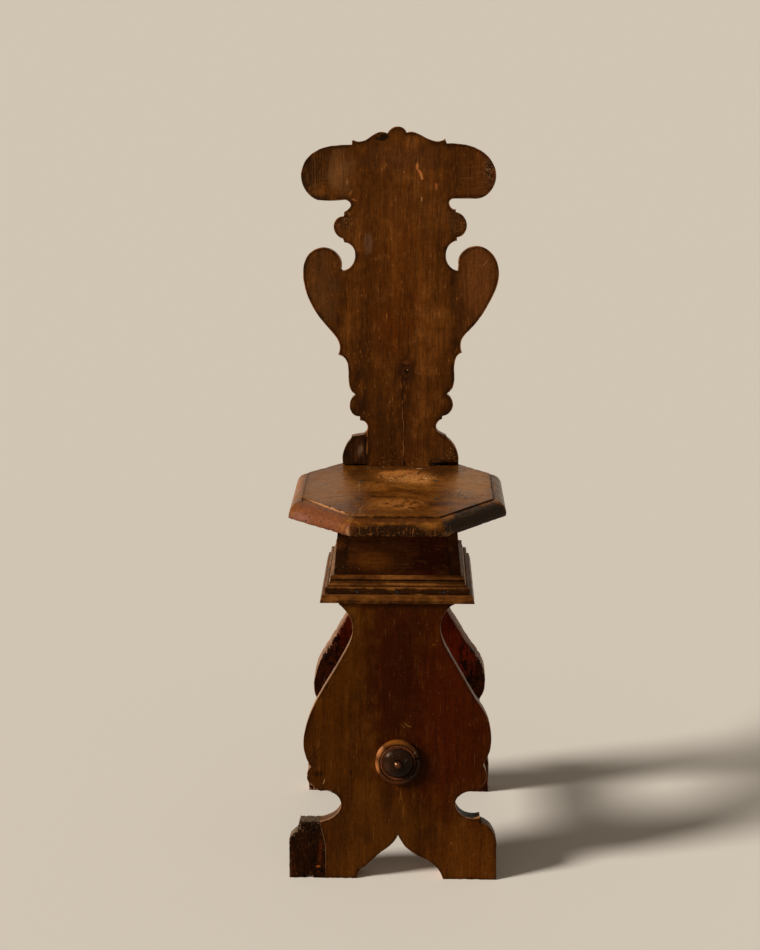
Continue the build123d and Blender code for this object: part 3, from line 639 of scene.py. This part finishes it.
seatWood = walnut("seatWalnut", {
    "turn": (-math.pi / 2, -math.pi / 2, 0), "flat": 2, "shift": 1.3,
    "dark": (64, 33, 6), "middle": (100, 55, 13), "light": (130, 80, 28),
    "rimDark": 0.25, "side": 0.0, "flame": 0.4, "streak": 0.8, "chatter": 0.0, "gold": 0.3,
    "cloudy": 1.2, "mottle": 1.0, "band": 0.4, "roughness": 0.3, "zoneRag": 0.6,
    "specular": 0.09, "worm": 0.25, "scratch": 0.5, "dust": 0.6, "arris": 0.4,
    "creaseWidth": 0.0018,
    "zones": [
        ((0.0, 0.09), (0.11, 0.034), (72, 36, 8), 0.7),  # polish kept by the back, darkened further as a painted reflection of the back board
        ((-0.09, -0.01), (0.05, 0.12), (134, 82, 28), 0.8, 0.6),
        ((0.1, 0.01), (0.04, 0.11), (142, 92, 36), 0.8, 0.6),
        # painted dark reflections of the back board, left and right
        ((-0.058, 0.06), (0.024, 0.05), (60, 32, 10), 0.75, 0.7),
        ((0.062, 0.066), (0.032, 0.036), (66, 36, 12), 0.75, 0.7),
        ((-0.04, 0.02), (0.03, 0.08), (96, 56, 20), 0.6),
        ((0.0, -0.135), (0.08, 0.018), (92, 52, 20), 0.6),
        ((0.0, -0.174, 0.482), (0.09, 0.02, 0.0165), (38, 18, 5), 1.0, 0.45),  # front mould, painted shade on its lower part
        ((0.0, -0.16, 0.4965), (0.076, 0.014, 0.0055), (76, 38, 11), 0.9, 0.6),
        ((-0.1, -0.121, 0.484), (0.075, 0.019, 0.022, -50.4), (112, 62, 37), 0.9, 0.4),
        ((-0.125, -0.1, 0.481), (0.034, 0.022, 0.012, -50.4), (124, 78, 62), 0.8, 0.7),
        ((0.1, -0.121, 0.484), (0.078, 0.022, 0.022, 50.4), (32, 16, 3), 1.0, 0.25),
        ((-0.139, 0.0, 0.488), (0.012, 0.08, 0.018), (134, 78, 36), 0.9, 0.5),
        ((0.139, 0.0, 0.488), (0.012, 0.08, 0.018), (128, 94, 64), 0.9, 0.5),
        ((0.061, -0.166, 0.48), (0.007, 0.012, 0.006), (110, 74, 36), 0.6, 0.8),
        ((0.0, 0.112), (0.09, 0.014), (16, 8, 4), 1.0, 0.3),  # painted shade in the gap under the back
    ],
    "scuffs": [
        ((0.006, 0.046), (0.048, 0.044), (74, 40, 60), 0.43, (164, 100, 44), 0.9),
        ((0.026, 0.022), (0.032, 0.034), (110, 60, 60), 0.42, (186, 120, 58), 0.9),
        ((0.014, 0.034), (0.05, 0.04), (300, 170, 60), 0.5, (208, 150, 92), 0.75),
        ((0.01, 0.036), (0.052, 0.044), (240, 240, 60), 0.58, (70, 36, 10), 0.7),
        ((0.0, -0.098), (0.046, 0.034), (260, 150, 60), 0.54, (190, 130, 72), 0.6),
        ((0.0, 0.062), (0.034, 0.022), (80, 44, 60), 0.42, (184, 118, 56), 0.8),
        ((-0.03, -0.012), (0.028, 0.03), (70, 40, 60), 0.42, (140, 84, 32), 0.8),
        ((-0.004, -0.1), (0.044, 0.036), (70, 40, 60), 0.42, (158, 98, 44), 0.85),
        ((0.0, 0.088), (0.06, 0.01), (260, 300, 260), 0.6, (206, 170, 130), 0.8),
        ((0.086, -0.06), (0.032, 0.034, 14), (230, 150, 90), 0.49, (44, 25, 10), 0.8),
        ((-0.11, 0.01), (0.03, 0.08), (130, 300, 90), 0.62, (60, 32, 14), 0.6),
        ((0.0, -0.172, 0.484), (0.07, 0.02, 0.016), (420, 260, 44), 0.58, (128, 76, 38), 0.7),
        ((0.0, -0.17, 0.479), (0.07, 0.02, 0.005), (190, 200, 300), 0.53, (128, 78, 38), 0.7),
        ((0.1, -0.121, 0.495), (0.075, 0.016, 0.005, 50.4), (90, 90, 200), 0.45, (74, 50, 22), 0.7),
        ((0.062, -0.164, 0.482), (0.013, 0.014, 0.013), (260, 260, 160), 0.55,
         (140, 98, 54), 0.6),
        ((-0.098, -0.118, 0.484), (0.075, 0.02, 0.018, -55), (160, 160, 200), 0.62,
         (90, 48, 30), 0.6),
        ((-0.075, -0.15, 0.477), (0.03, 0.014, 0.007, -55), (200, 200, 260), 0.48,
         (60, 42, 38), 0.75),
    ],
    "dots": [
        ((-0.105, -0.112, 0.482), (0.06, 0.022, 0.016, -55), (130, 130, 130), 0.2,
         (24, 10, 6), 0.95),
        ((0.136, -0.01, 0.484), (0.016, 0.07, 0.018), (110, 110, 110), 0.17, (24, 10, 6), 0.9),
        ((0.0, -0.172, 0.484), (0.08, 0.02, 0.016), (120, 120, 120), 0.15, (14, 6, 3), 0.9),
    ],
    "marks": [
        ((-0.09, -0.1113), (0.06, 0.0021, -50.4), (184, 132, 92), 0.8),  # lit arris
        # painted highlight on the front-left corner of the ovolo
        ((-0.0605, -0.166, 0.48), (0.005, 0.007, 0.012), (190, 140, 104), 0.6, 0.8),
        ((-0.0465, -0.17, 0.484), (0.0007, 0.008, 0.012), (150, 104, 62), 0.4),
        ((0.0475, -0.17, 0.483), (0.0009, 0.008, 0.014), (120, 80, 44), 0.35),
        ((-0.053, -0.01), (0.0008, 0.05, 3), (168, 116, 68), 0.55),
        ((-0.048, -0.125), (0.0008, 0.028, -8), (176, 120, 72), 0.6),
        ((0.0137, -0.118), (0.0009, 0.02, 30), (186, 134, 84), 0.6),
        ((0.018, -0.04), (0.0009, 0.022, -38), (140, 90, 46), 0.5),
        ((0.0509, -0.0701), (0.003, 0.003), (10, 6, 8), 0.95, 0.4),
        ((-0.0555, -0.0652), (0.0026, 0.0026), (40, 22, 12), 0.7, 0.5),
        ((0.0361, 0.0346), (0.0018, 0.0034), (226, 200, 168), 0.85, 0.5),
        ((0.0375, 0.023), (0.0028, 0.0016), (214, 180, 140), 0.8, 0.5),
        ((-0.053, -0.005), (0.003, 0.0014), (190, 160, 128), 0.7, 0.5),
        ((-0.0245, 0.0937), (0.0024, 0.0016), (214, 186, 152), 0.8, 0.5),
        ((0.028, 0.086), (0.006, 0.0018, 8), (214, 180, 140), 0.8, 0.5),
    ],
})
dressBoard("seatBoard", "seat_board", seatWood, {
    "angle": 60, "bevel": 0.0006,
    "cuts": [((1, 0, 0), 0.004), ((0, 1, 0), 0.004), ((0, 0, 1), 0.0035)],
    "fine": [((0.0, -0.17, 0.48), 0.075, 0.002), ((-0.1, -0.115, 0.48), 0.05, 0.002)],
    "nick": 0.0012, "nickShare": 0.05, "nickScale": 120.0, "nickWidth": 0.0035,
    "crumbs": [
        ((0.0, -0.17, 0.476), 0.085, 0.0034, 210), ((-0.1, -0.115, 0.476), 0.055, 0.002, 240),
        ((0.0665, -0.158, 0.484), 0.02, 0.005, 200), ((0.125, -0.05, 0.497), 0.02, 0.003, 200),
    ],
})

# Box

boxLook = {
    "dark": (32, 12, 2), "middle": (50, 21, 3), "light": (70, 34, 8), "rimDark": 0.4,
    "arris": 0.0, "side": 0.0, "specular": 0.05, "gold": 0.2,
}
boxFrontWood = walnut("boxFrontWalnut", {
    **boxLook, "turn": (0, -math.pi / 2, 0), "shift": 2.2,
    "zones": [
        ((-0.425, -0.03), (0.022, 0.034), (84, 44, 8), 0.8),  # lit lower left
        ((-0.43, -0.07), (0.06, 0.012), (34, 16, 5), 0.7),
        ((-0.44, 0.045), (0.09, 0.05), (46, 8, 2), 0.9),  # redder right half
        ((-0.468, 0.0), (0.01, 0.09), (30, 10, 2), 0.8),  # painted shade under the seat
        ((-0.43, 0.069), (0.05, 0.008), (30, 12, 4), 0.7),
    ],
    "scuffs": [
        ((-0.43, 0.0), (0.05, 0.09), (200, 200, 200), 0.66, (120, 74, 32), 0.5),
    ],
})
boxSideWood = walnut("boxSideWalnut", {
    **boxLook, "turn": (math.pi / 2, 0, 0), "shift": 4.4,
    "zones": [((0.0, -0.43, -0.11), (0.2, 0.1, 0.012), (40, 18, 4), 0.9, 0.4)],
    "scuffs": [
        ((0.0, -0.43), (0.12, 0.05), (240, 240, 240), 0.6, (124, 84, 46), 0.5),
    ],
})
cornerCuts = {"bevel": 0.0003, "nick": 0.0003,
              "cuts": [((1, 0, 0), 0.005), ((0, 1, 0), 0.005), ((0, 0, 1), 0.005)]}
sides = {"front": (1, 0, 0), "rear": (1, 0, 0), "left": (0, 1, 0), "right": (0, 1, 0)}
for side, run in sides.items():
    dressBoard(f"box{side.capitalize()}Board", f"box_{side}_board",
               boxFrontWood if run[0] else boxSideWood, cornerCuts)

# Moulding and bottom board

mouldingLook = {
    "dark": (58, 30, 8), "middle": (100, 56, 20), "light": (134, 84, 36), "rimDark": 0.0,
    "arris": 0.4, "arrisColour": (112, 64, 28), "arrisWidth": 0.0008, "creaseWidth": 0.0026,
    "side": 0.0, "specular": 0.08, "patch": 0.5,
}
mouldingAcross = walnut("mouldingWalnutAcross", {
    **mouldingLook, "turn": (0, -math.pi / 2, 0), "shift": 6.1,
    "zones": [
        ((-0.385, -0.12, 0.0), (0.0055, 0.2, 0.3), (36, 15, 2), 0.95, 0.35),  # dark lower band
        ((-0.397, -0.12, 0.0), (0.003, 0.2, 0.3), (46, 22, 4), 0.8, 0.5),
    ],
})
# the side mouldings get a paler copy of the finish, painted light where they catch the lamp
mouldingDeep = walnut("mouldingWalnutDeep", {
    **mouldingLook, "turn": (math.pi / 2, 0, 0), "shift": 7.1, "middle": (124, 88, 58),
    "light": (160, 122, 88),
    "zones": [((0.0, -0.385, 0.0), (0.3, 0.0055, 0.3), (60, 38, 20), 0.9, 0.35)],
})
for side, run in sides.items():
    finish = mouldingAcross if run[0] else mouldingDeep
    dressBoard("moulding" + side.capitalize(), f"moulding_{side}", finish, {
        "angle": 35, "bevel": 0.0004, "cuts": [(run, 0.004), ((0, 0, 1), 0.0018)],
        "nick": 0.0005, "nickWidth": 0.002,
    })

bottomWood = walnut("bottomBoardWalnut", {
    **mouldingLook, "turn": (0, -math.pi / 2, 0), "shift": 8.3, "middle": (90, 50, 15),
    "zones": [
        ((-0.373, 0.0, 0.0), (0.003, 0.3, 0.3), (34, 16, 3), 0.8, 0.6),
        # a thin pale line along the top edge: painted highlight
        ((-0.381, 0.0, 0.0), (0.0014, 0.3, 0.3), (108, 66, 28), 0.6, 0.6),
    ],
})
dressBoard("bottomBoard", "bottom_board", bottomWood, {
    "angle": 35, "bevel": 0.0006, "nick": 0.0007, "nickWidth": 0.002,
    "cuts": [((1, 0, 0), 0.005), ((0, 1, 0), 0.005), ((0, 0, 1), 0.0022)],
})

# Legs

frontFace = (0, -math.cos(legLean), math.sin(legLean))
frontRise = (0, math.sin(legLean), math.cos(legLean))
rearFace = (0, math.cos(legLean), math.sin(legLean))
rearRise = (0, -math.sin(legLean), math.cos(legLean))
legLook = {
    "dark": (42, 16, 1), "middle": (66, 31, 2), "light": (88, 49, 10), "specular": 0.05,
    # paler thickness faces: side grain, lightened as painted fill light
    "side": 0.75, "sideColour": (168, 122, 86), "gold": 0.12, "mottle": 0.45, "cloudy": 0.9,
    "patch": 0.6, "streak": 0.9, "dust": 0.2, "zoneRag": 0.45,
}
frontLegWood = walnut("frontLegWalnut", {
    **legLook, "turn": (legLean, 0, 0), "shift": 9.4, "faceEnd": -0.151,
    "zones": [
        ((0.07, 0.21), (0.1, 0.2), (60, 15, 1), 0.85),  # redder right half: patina, with painted shade falling off towards the right
        ((-0.003, 0.26), (0.054, 0.19), (44, 10, 1), 0.9, 0.75),
        ((-0.075, 0.24), (0.04, 0.12, 8), (70, 35, 1), 0.7),
        ((-0.09, 0.13), (0.05, 0.06), (72, 38, 4), 0.6),
        ((-0.02, 0.045), (0.09, 0.06), (78, 42, 6), 0.7),
        ((-0.06, -0.01), (0.045, 0.045), (86, 46, 8), 0.7),
        ((0.095, 0.01), (0.055, 0.06), (84, 42, 6), 0.7),
        ((-0.044, 0.088), (0.028, 0.032), (84, 47, 9), 0.7, 1.0),
        ((-0.012, 0.078), (0.012, 0.036), (50, 24, 4), 0.7, 0.9),
        ((0.04, 0.038), (0.026, 0.012, -38), (50, 23, 4), 0.7, 0.9),
        ((-0.04, 0.034), (0.026, 0.01, 38), (52, 26, 4), 0.6, 0.9),
        ((-0.11, 0.135), (0.01, 0.016), (52, 24, 6), 0.8, 0.6),  # bruised lobe
        ((-0.104, 0.118), (0.01, 0.006), (30, 12, 3), 0.8, 0.7),
        ((-0.06, -0.033), (0.04, 0.005), (34, 15, 3), 0.8, 0.7),
        ((0.085, -0.033), (0.045, 0.003), (44, 20, 4), 0.7, 0.7),
        ((0.0, 0.055), (0.016, 0.03), (56, 26, 3), 0.5),
        ((0.026, 0.128), (0.05, 0.042), (36, 11, 1), 0.75),  # polish left round the boss
        ((0.002, 0.36), (0.09, 0.03), (52, 22, 2), 0.7),  # painted shade under the bottom board
        ((0.092, -0.158, 0.062), (0.024, 0.0135, 0.02), (20, 12, 5), 1.0, 0.35),
        ((-0.09, -0.158, 0.06), (0.026, 0.0135, 0.022), (80, 48, 20), 0.9, 0.35),
    ],
    "scuffs": [
        ((0.0, 0.04), (0.12, 0.06), (300, 300, 160), 0.64, (118, 74, 30), 0.25),
        ((-0.055, -0.028), (0.055, 0.01), (300, 300, 300), 0.56, (30, 14, 4), 0.7),
    ],
    "marks": [
        ((0.015, 0.1852), (0.0085, 0.0012, 30), (124, 86, 36), 0.55),
        ((0.01, 0.183), (0.0065, 0.001, 34), (110, 74, 30), 0.5),
        ((-0.096, 0.1067), (0.001, 0.006, 15), (160, 118, 72), 0.75),
        ((-0.0602, 0.1193), (0.0014, 0.005), (18, 9, 3), 0.85, 0.5),
        ((-0.104, 0.157), (0.002, 0.008, 12), (100, 58, 24), 0.6),
        ((-0.108, 0.15), (0.0012, 0.009, -4), (34, 16, 4), 0.7),
        ((0.0486, 0.2931), (0.0014, 0.0018), (132, 76, 26), 0.7),
        ((0.0049, 0.09), (0.0016, 0.012, -4), (112, 70, 22), 0.6, 0.7),
        ((0.0103, 0.069), (0.0014, 0.013, 6), (112, 70, 22), 0.6, 0.7),
        ((0.074, 0.025), (0.0012, 0.003), (130, 90, 50), 0.6),
        ((0.111, 0.052), (0.0012, 0.007, -20), (20, 10, 4), 0.85, 0.5),
    ],
})
dressBoard("frontLeg", "front_leg", frontLegWood, {
    **boardCuts(frontRise, frontFace, 0.005, 0.0065),
    "nick": 0.0008, "nickShare": 0.05, "seam": 0.1115,
    "fine": [((-0.1, -0.152, 0.13), 0.024, 0.002), ((-0.06, -0.172, 0.003), 0.03, 0.002)],
    "crumbs": [
        ((-0.1, -0.152, 0.13), 0.028, 0.01, 230), ((-0.06, -0.172, 0.003), 0.036, 0.009, 230),
        ((0.09, -0.172, 0.003), 0.04, 0.004, 230), ((0.0, -0.168, 0.036), 0.012, 0.006, 300),
    ],
})
rearLegWood = walnut("rearLegWalnut", {
    **legLook, "turn": (-legLean, 0, 0), "shift": 12.8, "faceEnd": 0.106, "dark": (26, 8, 1),
    "middle": (54, 17, 3), "light": (82, 34, 9), "patch": 1.2, "worm": 0.8,
    # the pale thickness faces are painted fill light, and the arris paint is painted glints as well
    # as bare wood
    "sideColour": (146, 108, 82), "arrisColour": (170, 124, 98), "arris": 0.8,
    "arrisWidth": 0.0018, "specular": 0.04,
    "zones": [  # the faces turned to the front leg
        ((0.08, 0.086, 0.28), (0.054, 0.017, 0.12), (84, 21, 3), 0.9, 0.3),
        ((-0.08, 0.086, 0.3), (0.038, 0.017, 0.08), (70, 15, 2), 0.9, 0.3),
    ],
    "scuffs": [
        ((-0.1, 0.24), (0.034, 0.1), (130, 130, 80), 0.5, (14, 5, 2), 0.9),
        ((0.104, 0.195), (0.024, 0.06, -12), (150, 150, 60), 0.48, (12, 4, 2), 0.9),
        # pale dashes along the crumbled left arris: painted glints
        ((-0.093, 0.28), (0.008, 0.08, 21), (420, 420, 300), 0.55, (150, 106, 80), 0.75),
        ((0.105, 0.21), (0.026, 0.06), (380, 380, 380), 0.64, (140, 84, 46), 0.6),
    ],
})
dressBoard("rearLeg", "rear_leg", rearLegWood, {
    **boardCuts(rearRise, rearFace, 0.005, 0.0065),
    "nick": 0.0011, "nickShare": 0.1,
    "fine": [((-0.098, 0.055, 0.262), 0.045, 0.0024), ((0.106, 0.062, 0.215), 0.032, 0.0024)],
    "crumbs": [
        ((-0.1, 0.056, 0.25), 0.06, 0.009, 260), ((0.106, 0.062, 0.215), 0.04, 0.006, 180),
        ((0.108, 0.077, 0.11), 0.04, 0.003, 180), ((-0.108, 0.077, 0.11), 0.04, 0.003, 180),
    ],
})
toeWood = walnut("toeRepairWood", {
    "turn": (legLean, 0, 0), "shift": 14.1, "dark": (22, 7, 1), "middle": (38, 13, 2),
    "light": (66, 27, 5), "patch": 1.2, "rimDark": 0.5, "specular": 0.05, "gold": 0.15,
    "sideColour": (104, 82, 62), "side": 0.75, "arrisColour": (166, 126, 88),
    "zones": [((-0.101, 0.014), (0.0045, 0.04, 4), (78, 28, 4), 0.6, 0.9)],
    "scuffs": [
        ((-0.118, 0.046), (0.03, 0.016), (300, 300, 300), 0.56, (60, 44, 32), 0.6),
        ((-0.118, -0.158, 0.052), (0.04, 0.0135, 0.03), (260, 260, 260), 0.5,
         (40, 30, 24), 0.85),
        ((-0.118, -0.158, 0.052), (0.04, 0.0135, 0.03), (340, 340, 340), 0.58,
         (160, 134, 108), 0.6),
        ((-0.118, 0.0), (0.03, 0.05), (260, 260, 120), 0.54, (12, 5, 2), 0.8),
    ],
    "marks": [
        ((-0.1035, -0.0087), (0.0045, 0.0022, -6), (150, 76, 26), 0.85, 0.7),
        ((-0.108, 0.042), (0.0038, 0.004), (10, 4, 2), 0.9),
        ((-0.1, -0.015), (0.005, 0.003), (10, 4, 2), 0.9),
    ],
})
dressBoard("frontToeRepairLeft", "front_toe_repair_left", toeWood, {
    **boardCuts(frontRise, frontFace, 0.004, 0.005),
    "nick": 0.0012, "nickShare": 0.15,
    "fine": [((-0.117, -0.16, 0.058), 0.03, 0.002)],
    "crumbs": [
        ((-0.117, -0.15, 0.058), 0.045, 0.013, 260), ((-0.12, -0.17, 0.003), 0.04, 0.006, 230),
    ],
})
stripWood = walnut("toeStripWalnut", {
    **legLook, "turn": (legLean, 0, 0), "shift": 9.4, "middle": (76, 38, 5),
    "sideColour": (96, 74, 56),
})
dressBoard("frontToeRepairRight", "front_toe_repair_right", stripWood, {
    **boardCuts(frontRise, frontFace, 0.004, 0.006),
    "nick": 0.0009, "nickShare": 0.1, "seam": 0.1115,
})

# Stretcher and its key

stretcherWood = walnut("stretcherWalnut", {
    **legLook, "turn": (math.pi / 2, 0, 0), "shift": 17.3, "mottle": 0.3, "cloudy": 0.6,
    "side": 0.0, "rimDark": 0.3, "rimWidth": 0.003, "patch": 0.3,
})
dressBoard("stretcherRail", "stretcher", stretcherWood, {
    "bevel": 0.001, "cuts": [((0, 1, 0), 0.006), ((0, 0, 1), 0.005), ((1, 0, 0), 0.005)],
})
dressBoard("stretcherKey", "stretcher_key", boxFrontWood, {
    "bevel": 0.0008, "cuts": [((1, 0, 0), 0.004), ((0, 0, 1), 0.004), ((0, 1, 0), 0.004)],
})

# Turned boss

boss = {
    "centre": (0.0022, -0.1497, 0.1591), "radius": 0.0303, "height": 0.02, "steps": 144,
    "outline": [  # shares of radius and height: corners, or a curve's middle, end and steps
        ((1.0, 0.0),), ((1.0, 0.04),),
        ((0.985, 0.235), (0.91, 0.32), 7), ((0.835, 0.312), (0.8, 0.22), 7),  # rim
        ((0.785, 0.22),), ((0.745, 0.325), (0.7, 0.24), 7),  # bead
        ((0.5, 0.56), (0.2, 0.68), 12), ((0.15, 0.66),),  # dome
        ((0.178, 0.8), (0.11, 0.95), 6), ((0.06, 0.995),), ((0.0, 1.0),),  # nub
    ],
    "crackAt": 12, "crackSpread": 1.5,  # degrees round the boss
    "crackFrom": 0.0225, "crackDepth": 0.0022, "crackFloor": 0.0008,
    "uneven": 0.00025, "unevenScale": 140,
}


def arcThrough(start, middle, end, count):
    # a quadratic curve that passes its middle point, near enough to the turner's sweep
    pull = [2 * m - (s + e) / 2 for s, m, e in zip(start, middle, end)]
    made = []
    for i in range(1, count + 1):
        t = i / count
        made.append(tuple((1 - t) ** 2 * s + 2 * t * (1 - t) * p + t * t * e
                          for s, p, e in zip(start, pull, end)))
    return made


def turnBoss(material):
    profile = []
    for part in boss["outline"]:
        profile += part if len(part) == 1 else arcThrough(profile[-1], *part)
    shape = bmesh.new()
    verts = [shape.verts.new((r * boss["radius"], 0, h * boss["height"])) for r, h in profile]
    edges = [shape.edges.new(pair) for pair in zip(verts, verts[1:])]
    foot = shape.verts.new((0, 0, 0))
    edges.append(shape.edges.new((foot, verts[0])))
    bmesh.ops.spin(shape, geom=[foot, *verts, *edges], cent=(0, 0, 0), axis=(0, 0, 1),
                   dvec=(0, 0, 0), angle=2 * math.pi, steps=boss["steps"], use_merge=True)
    bmesh.ops.remove_doubles(shape, verts=shape.verts, dist=shaping["slack"])
    bmesh.ops.recalc_face_normals(shape, faces=shape.faces)
    for vert in shape.verts:
        reach = vert.co.xy.length
        angle = math.degrees(math.atan2(vert.co.y, vert.co.x))
        if min(reach, vert.co.z) > shaping["merge"]:
            vert.co.z -= abs(noise.noise(vert.co * boss["unevenScale"])) * boss["uneven"]
        if (abs(angle - boss["crackAt"]) < boss["crackSpread"] and reach > boss["crackFrom"]
                and vert.co.z > boss["crackFloor"]):
            vert.co.z = max(boss["crackFloor"], vert.co.z - boss["crackDepth"])
    turn = Matrix((Vector((1, 0, 0)), Vector(frontRise), Vector(frontFace))).transposed().to_4x4()
    bmesh.ops.transform(shape, matrix=Matrix.Translation(boss["centre"]) @ turn, verts=shape.verts)
    nowhere = pointTree([])
    finishPiece(shape, "turnedBoss", ["boss"], material, nowhere, nowhere)


bossWood = walnut("bossWalnut", {
    "turn": (legLean, 0, 0), "shift": 19.2, "dark": (28, 12, 5), "middle": (54, 26, 12),
    "light": (84, 44, 20), "rimDark": 0.0, "arris": 0.0, "side": 0.0, "roughness": 0.22,
    "specular": 0.12, "specularTint": (1, 0.75, 0.5, 1), "mottle": 1.4, "cloudy": 1.4,
    "markRag": 0.12, "markDepth": 0.0, "markWave": 0.0, "gold": 0.1, "arrisColour": (90, 50, 24),
    "marks": [
        ((0.0022, 0.1353), (0.033, 0.033), (76, 38, 13), 0.8, 0.1),  # outer ring
        # painted light on the ring's top and left, with painted highlights
        ((-0.004, 0.163), (0.026, 0.01), (124, 72, 22), 0.85, 0.8),
        ((-0.0205, 0.148), (0.0105, 0.02, -38), (184, 118, 66), 0.85, 0.9),  # painted highlight on the upper left of the ring
        ((-0.027, 0.127), (0.007, 0.017, 12), (176, 108, 58), 0.85, 0.8),
        # painted shade on the ring's right side, then a painted highlight at its upper right
        ((0.028, 0.126), (0.018, 0.034), (20, 8, 4), 0.95),
        ((0.0226, 0.147), (0.0015, 0.007, 32), (116, 92, 80), 0.7, 0.7),
        ((0.0022, 0.1353), (0.0248, 0.0248), (20, 8, 4), 0.9, 0.06),  # groove
        ((0.0022, 0.1353), (0.0238, 0.0238), (122, 70, 42), 0.85, 0.06),  # bead
        # painted shade on the bead's right side
        ((0.018, 0.124), (0.023, 0.028), (30, 13, 6), 0.9, 0.7),
        ((0.0022, 0.1353), (0.0214, 0.0214), (20, 7, 3), 0.95, 0.08),  # dome
        # painted shade on the dome's lower right, painted light on its left and a painted highlight
        # at its upper right
        ((0.008, 0.127), (0.013, 0.013), (8, 3, 2), 0.85, 0.8),
        ((-0.012, 0.131), (0.007, 0.011), (60, 34, 20), 0.6, 0.9),
        ((0.0128, 0.141), (0.0018, 0.004, 24), (74, 70, 64), 0.6, 0.8),
        ((0.0022, 0.1353), (0.0052, 0.0052), (88, 46, 22), 0.85, 0.4),  # nub
        # painted highlight on the nub, painted shade under it
        ((-0.0006, 0.1376), (0.002, 0.0015, 30), (214, 164, 122), 0.8, 0.7),
        ((0.0002, 0.133), (0.0015, 0.001), (10, 5, 3), 0.8),
    ],
})
turnBoss(bossWood)

# CAD nodes that show as they are, or stay hidden inside

innerWood = walnut("innerWood", {
    "dark": (70, 48, 26), "middle": (108, 78, 46), "light": (140, 106, 66),
    "rimDark": 0.0, "arris": 0.0, "crease": 0.0, "side": 0.0, "roughness": 0.6,
})
iron = forgedIron("forgedIron", ironLook)
for nodeName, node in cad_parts.items():
    if node.hide_render:
        continue
    finish = iron if "nails" in nodeName else innerWood
    node.data.materials.clear()
    node.data.materials.append(finish)
print("carried nodes finished")

# Studio

studio = {
    "floorSize": 400, "floorColour": (0.8, 0.765, 0.715, 1), "floorRoughness": 0.85,
    "backdrop": (0.634, 0.554, 0.45, 1), "skyColour": (0.66, 0.56, 0.44, 1), "skyLevel": 0.27,
    "sunLevel": 4.0, "sunAngle": 13, "sunFrom": (-0.86, -0.28, 0.5),
    "sunColour": (1.0, 0.93, 0.83),
}
portrait = {
    "lens": 62.53, "sensor": 36, "place": (0.0243, -2.1657, 1.0848), "tilt": 14.81, "turn": 1.31,
}


def makeStudio():
    shape = bmesh.new()
    bmesh.ops.create_grid(shape, x_segments=2, y_segments=2, size=studio["floorSize"])
    mesh = bpy.data.meshes.new("studioFloor")
    shape.to_mesh(mesh)
    shape.free()
    floor = placed("studioFloor", mesh)
    material, bench = startFinish("paleFloor")
    setShader(bench, Base_Color=studio["floorColour"], Roughness=studio["floorRoughness"],
              Specular_IOR_Level=0.0)
    mesh.materials.append(material)

    world = bpy.data.worlds.new("studioSky")
    scene.world = world
    world.use_nodes = True
    bench = Bench(world.node_tree)
    background = world.node_tree.nodes["Background"]
    # the camera and mirrored rays see the backdrop, scattered light comes from the sky
    seen = 0.0
    for ray in ("Is Camera Ray", "Is Glossy Ray", "Is Transmission Ray"):
        seen = bench.maths("MAXIMUM", bench.node("LightPath", {}, {}, ray), seen)
    colour = bench.blend(seen, studio["skyColour"], studio["backdrop"])
    level = seen + (1 - seen) * studio["skyLevel"]
    world.node_tree.links.new(colour.socket, background.inputs["Color"])
    world.node_tree.links.new(level.socket, background.inputs["Strength"])

    lamp = bpy.data.lights.new("keySun", "SUN")
    lamp.energy = studio["sunLevel"]
    lamp.angle = math.radians(studio["sunAngle"])
    lamp.color = studio["sunColour"]
    sun = placed("keySun", lamp)
    sun.rotation_euler = Vector(studio["sunFrom"]).to_track_quat("Z", "Y").to_euler()


def makeCamera():
    lens = bpy.data.cameras.new("portraitLens")
    lens.lens = portrait["lens"]
    lens.sensor_width = portrait["sensor"]
    camera = placed("portraitCamera", lens)
    camera.location = portrait["place"]
    camera.rotation_euler = (math.radians(90 - portrait["tilt"]), 0, math.radians(portrait["turn"]))
    scene.camera = camera


makeStudio()
makeCamera()
scene.view_settings.view_transform = "Standard"
print("studio ready")
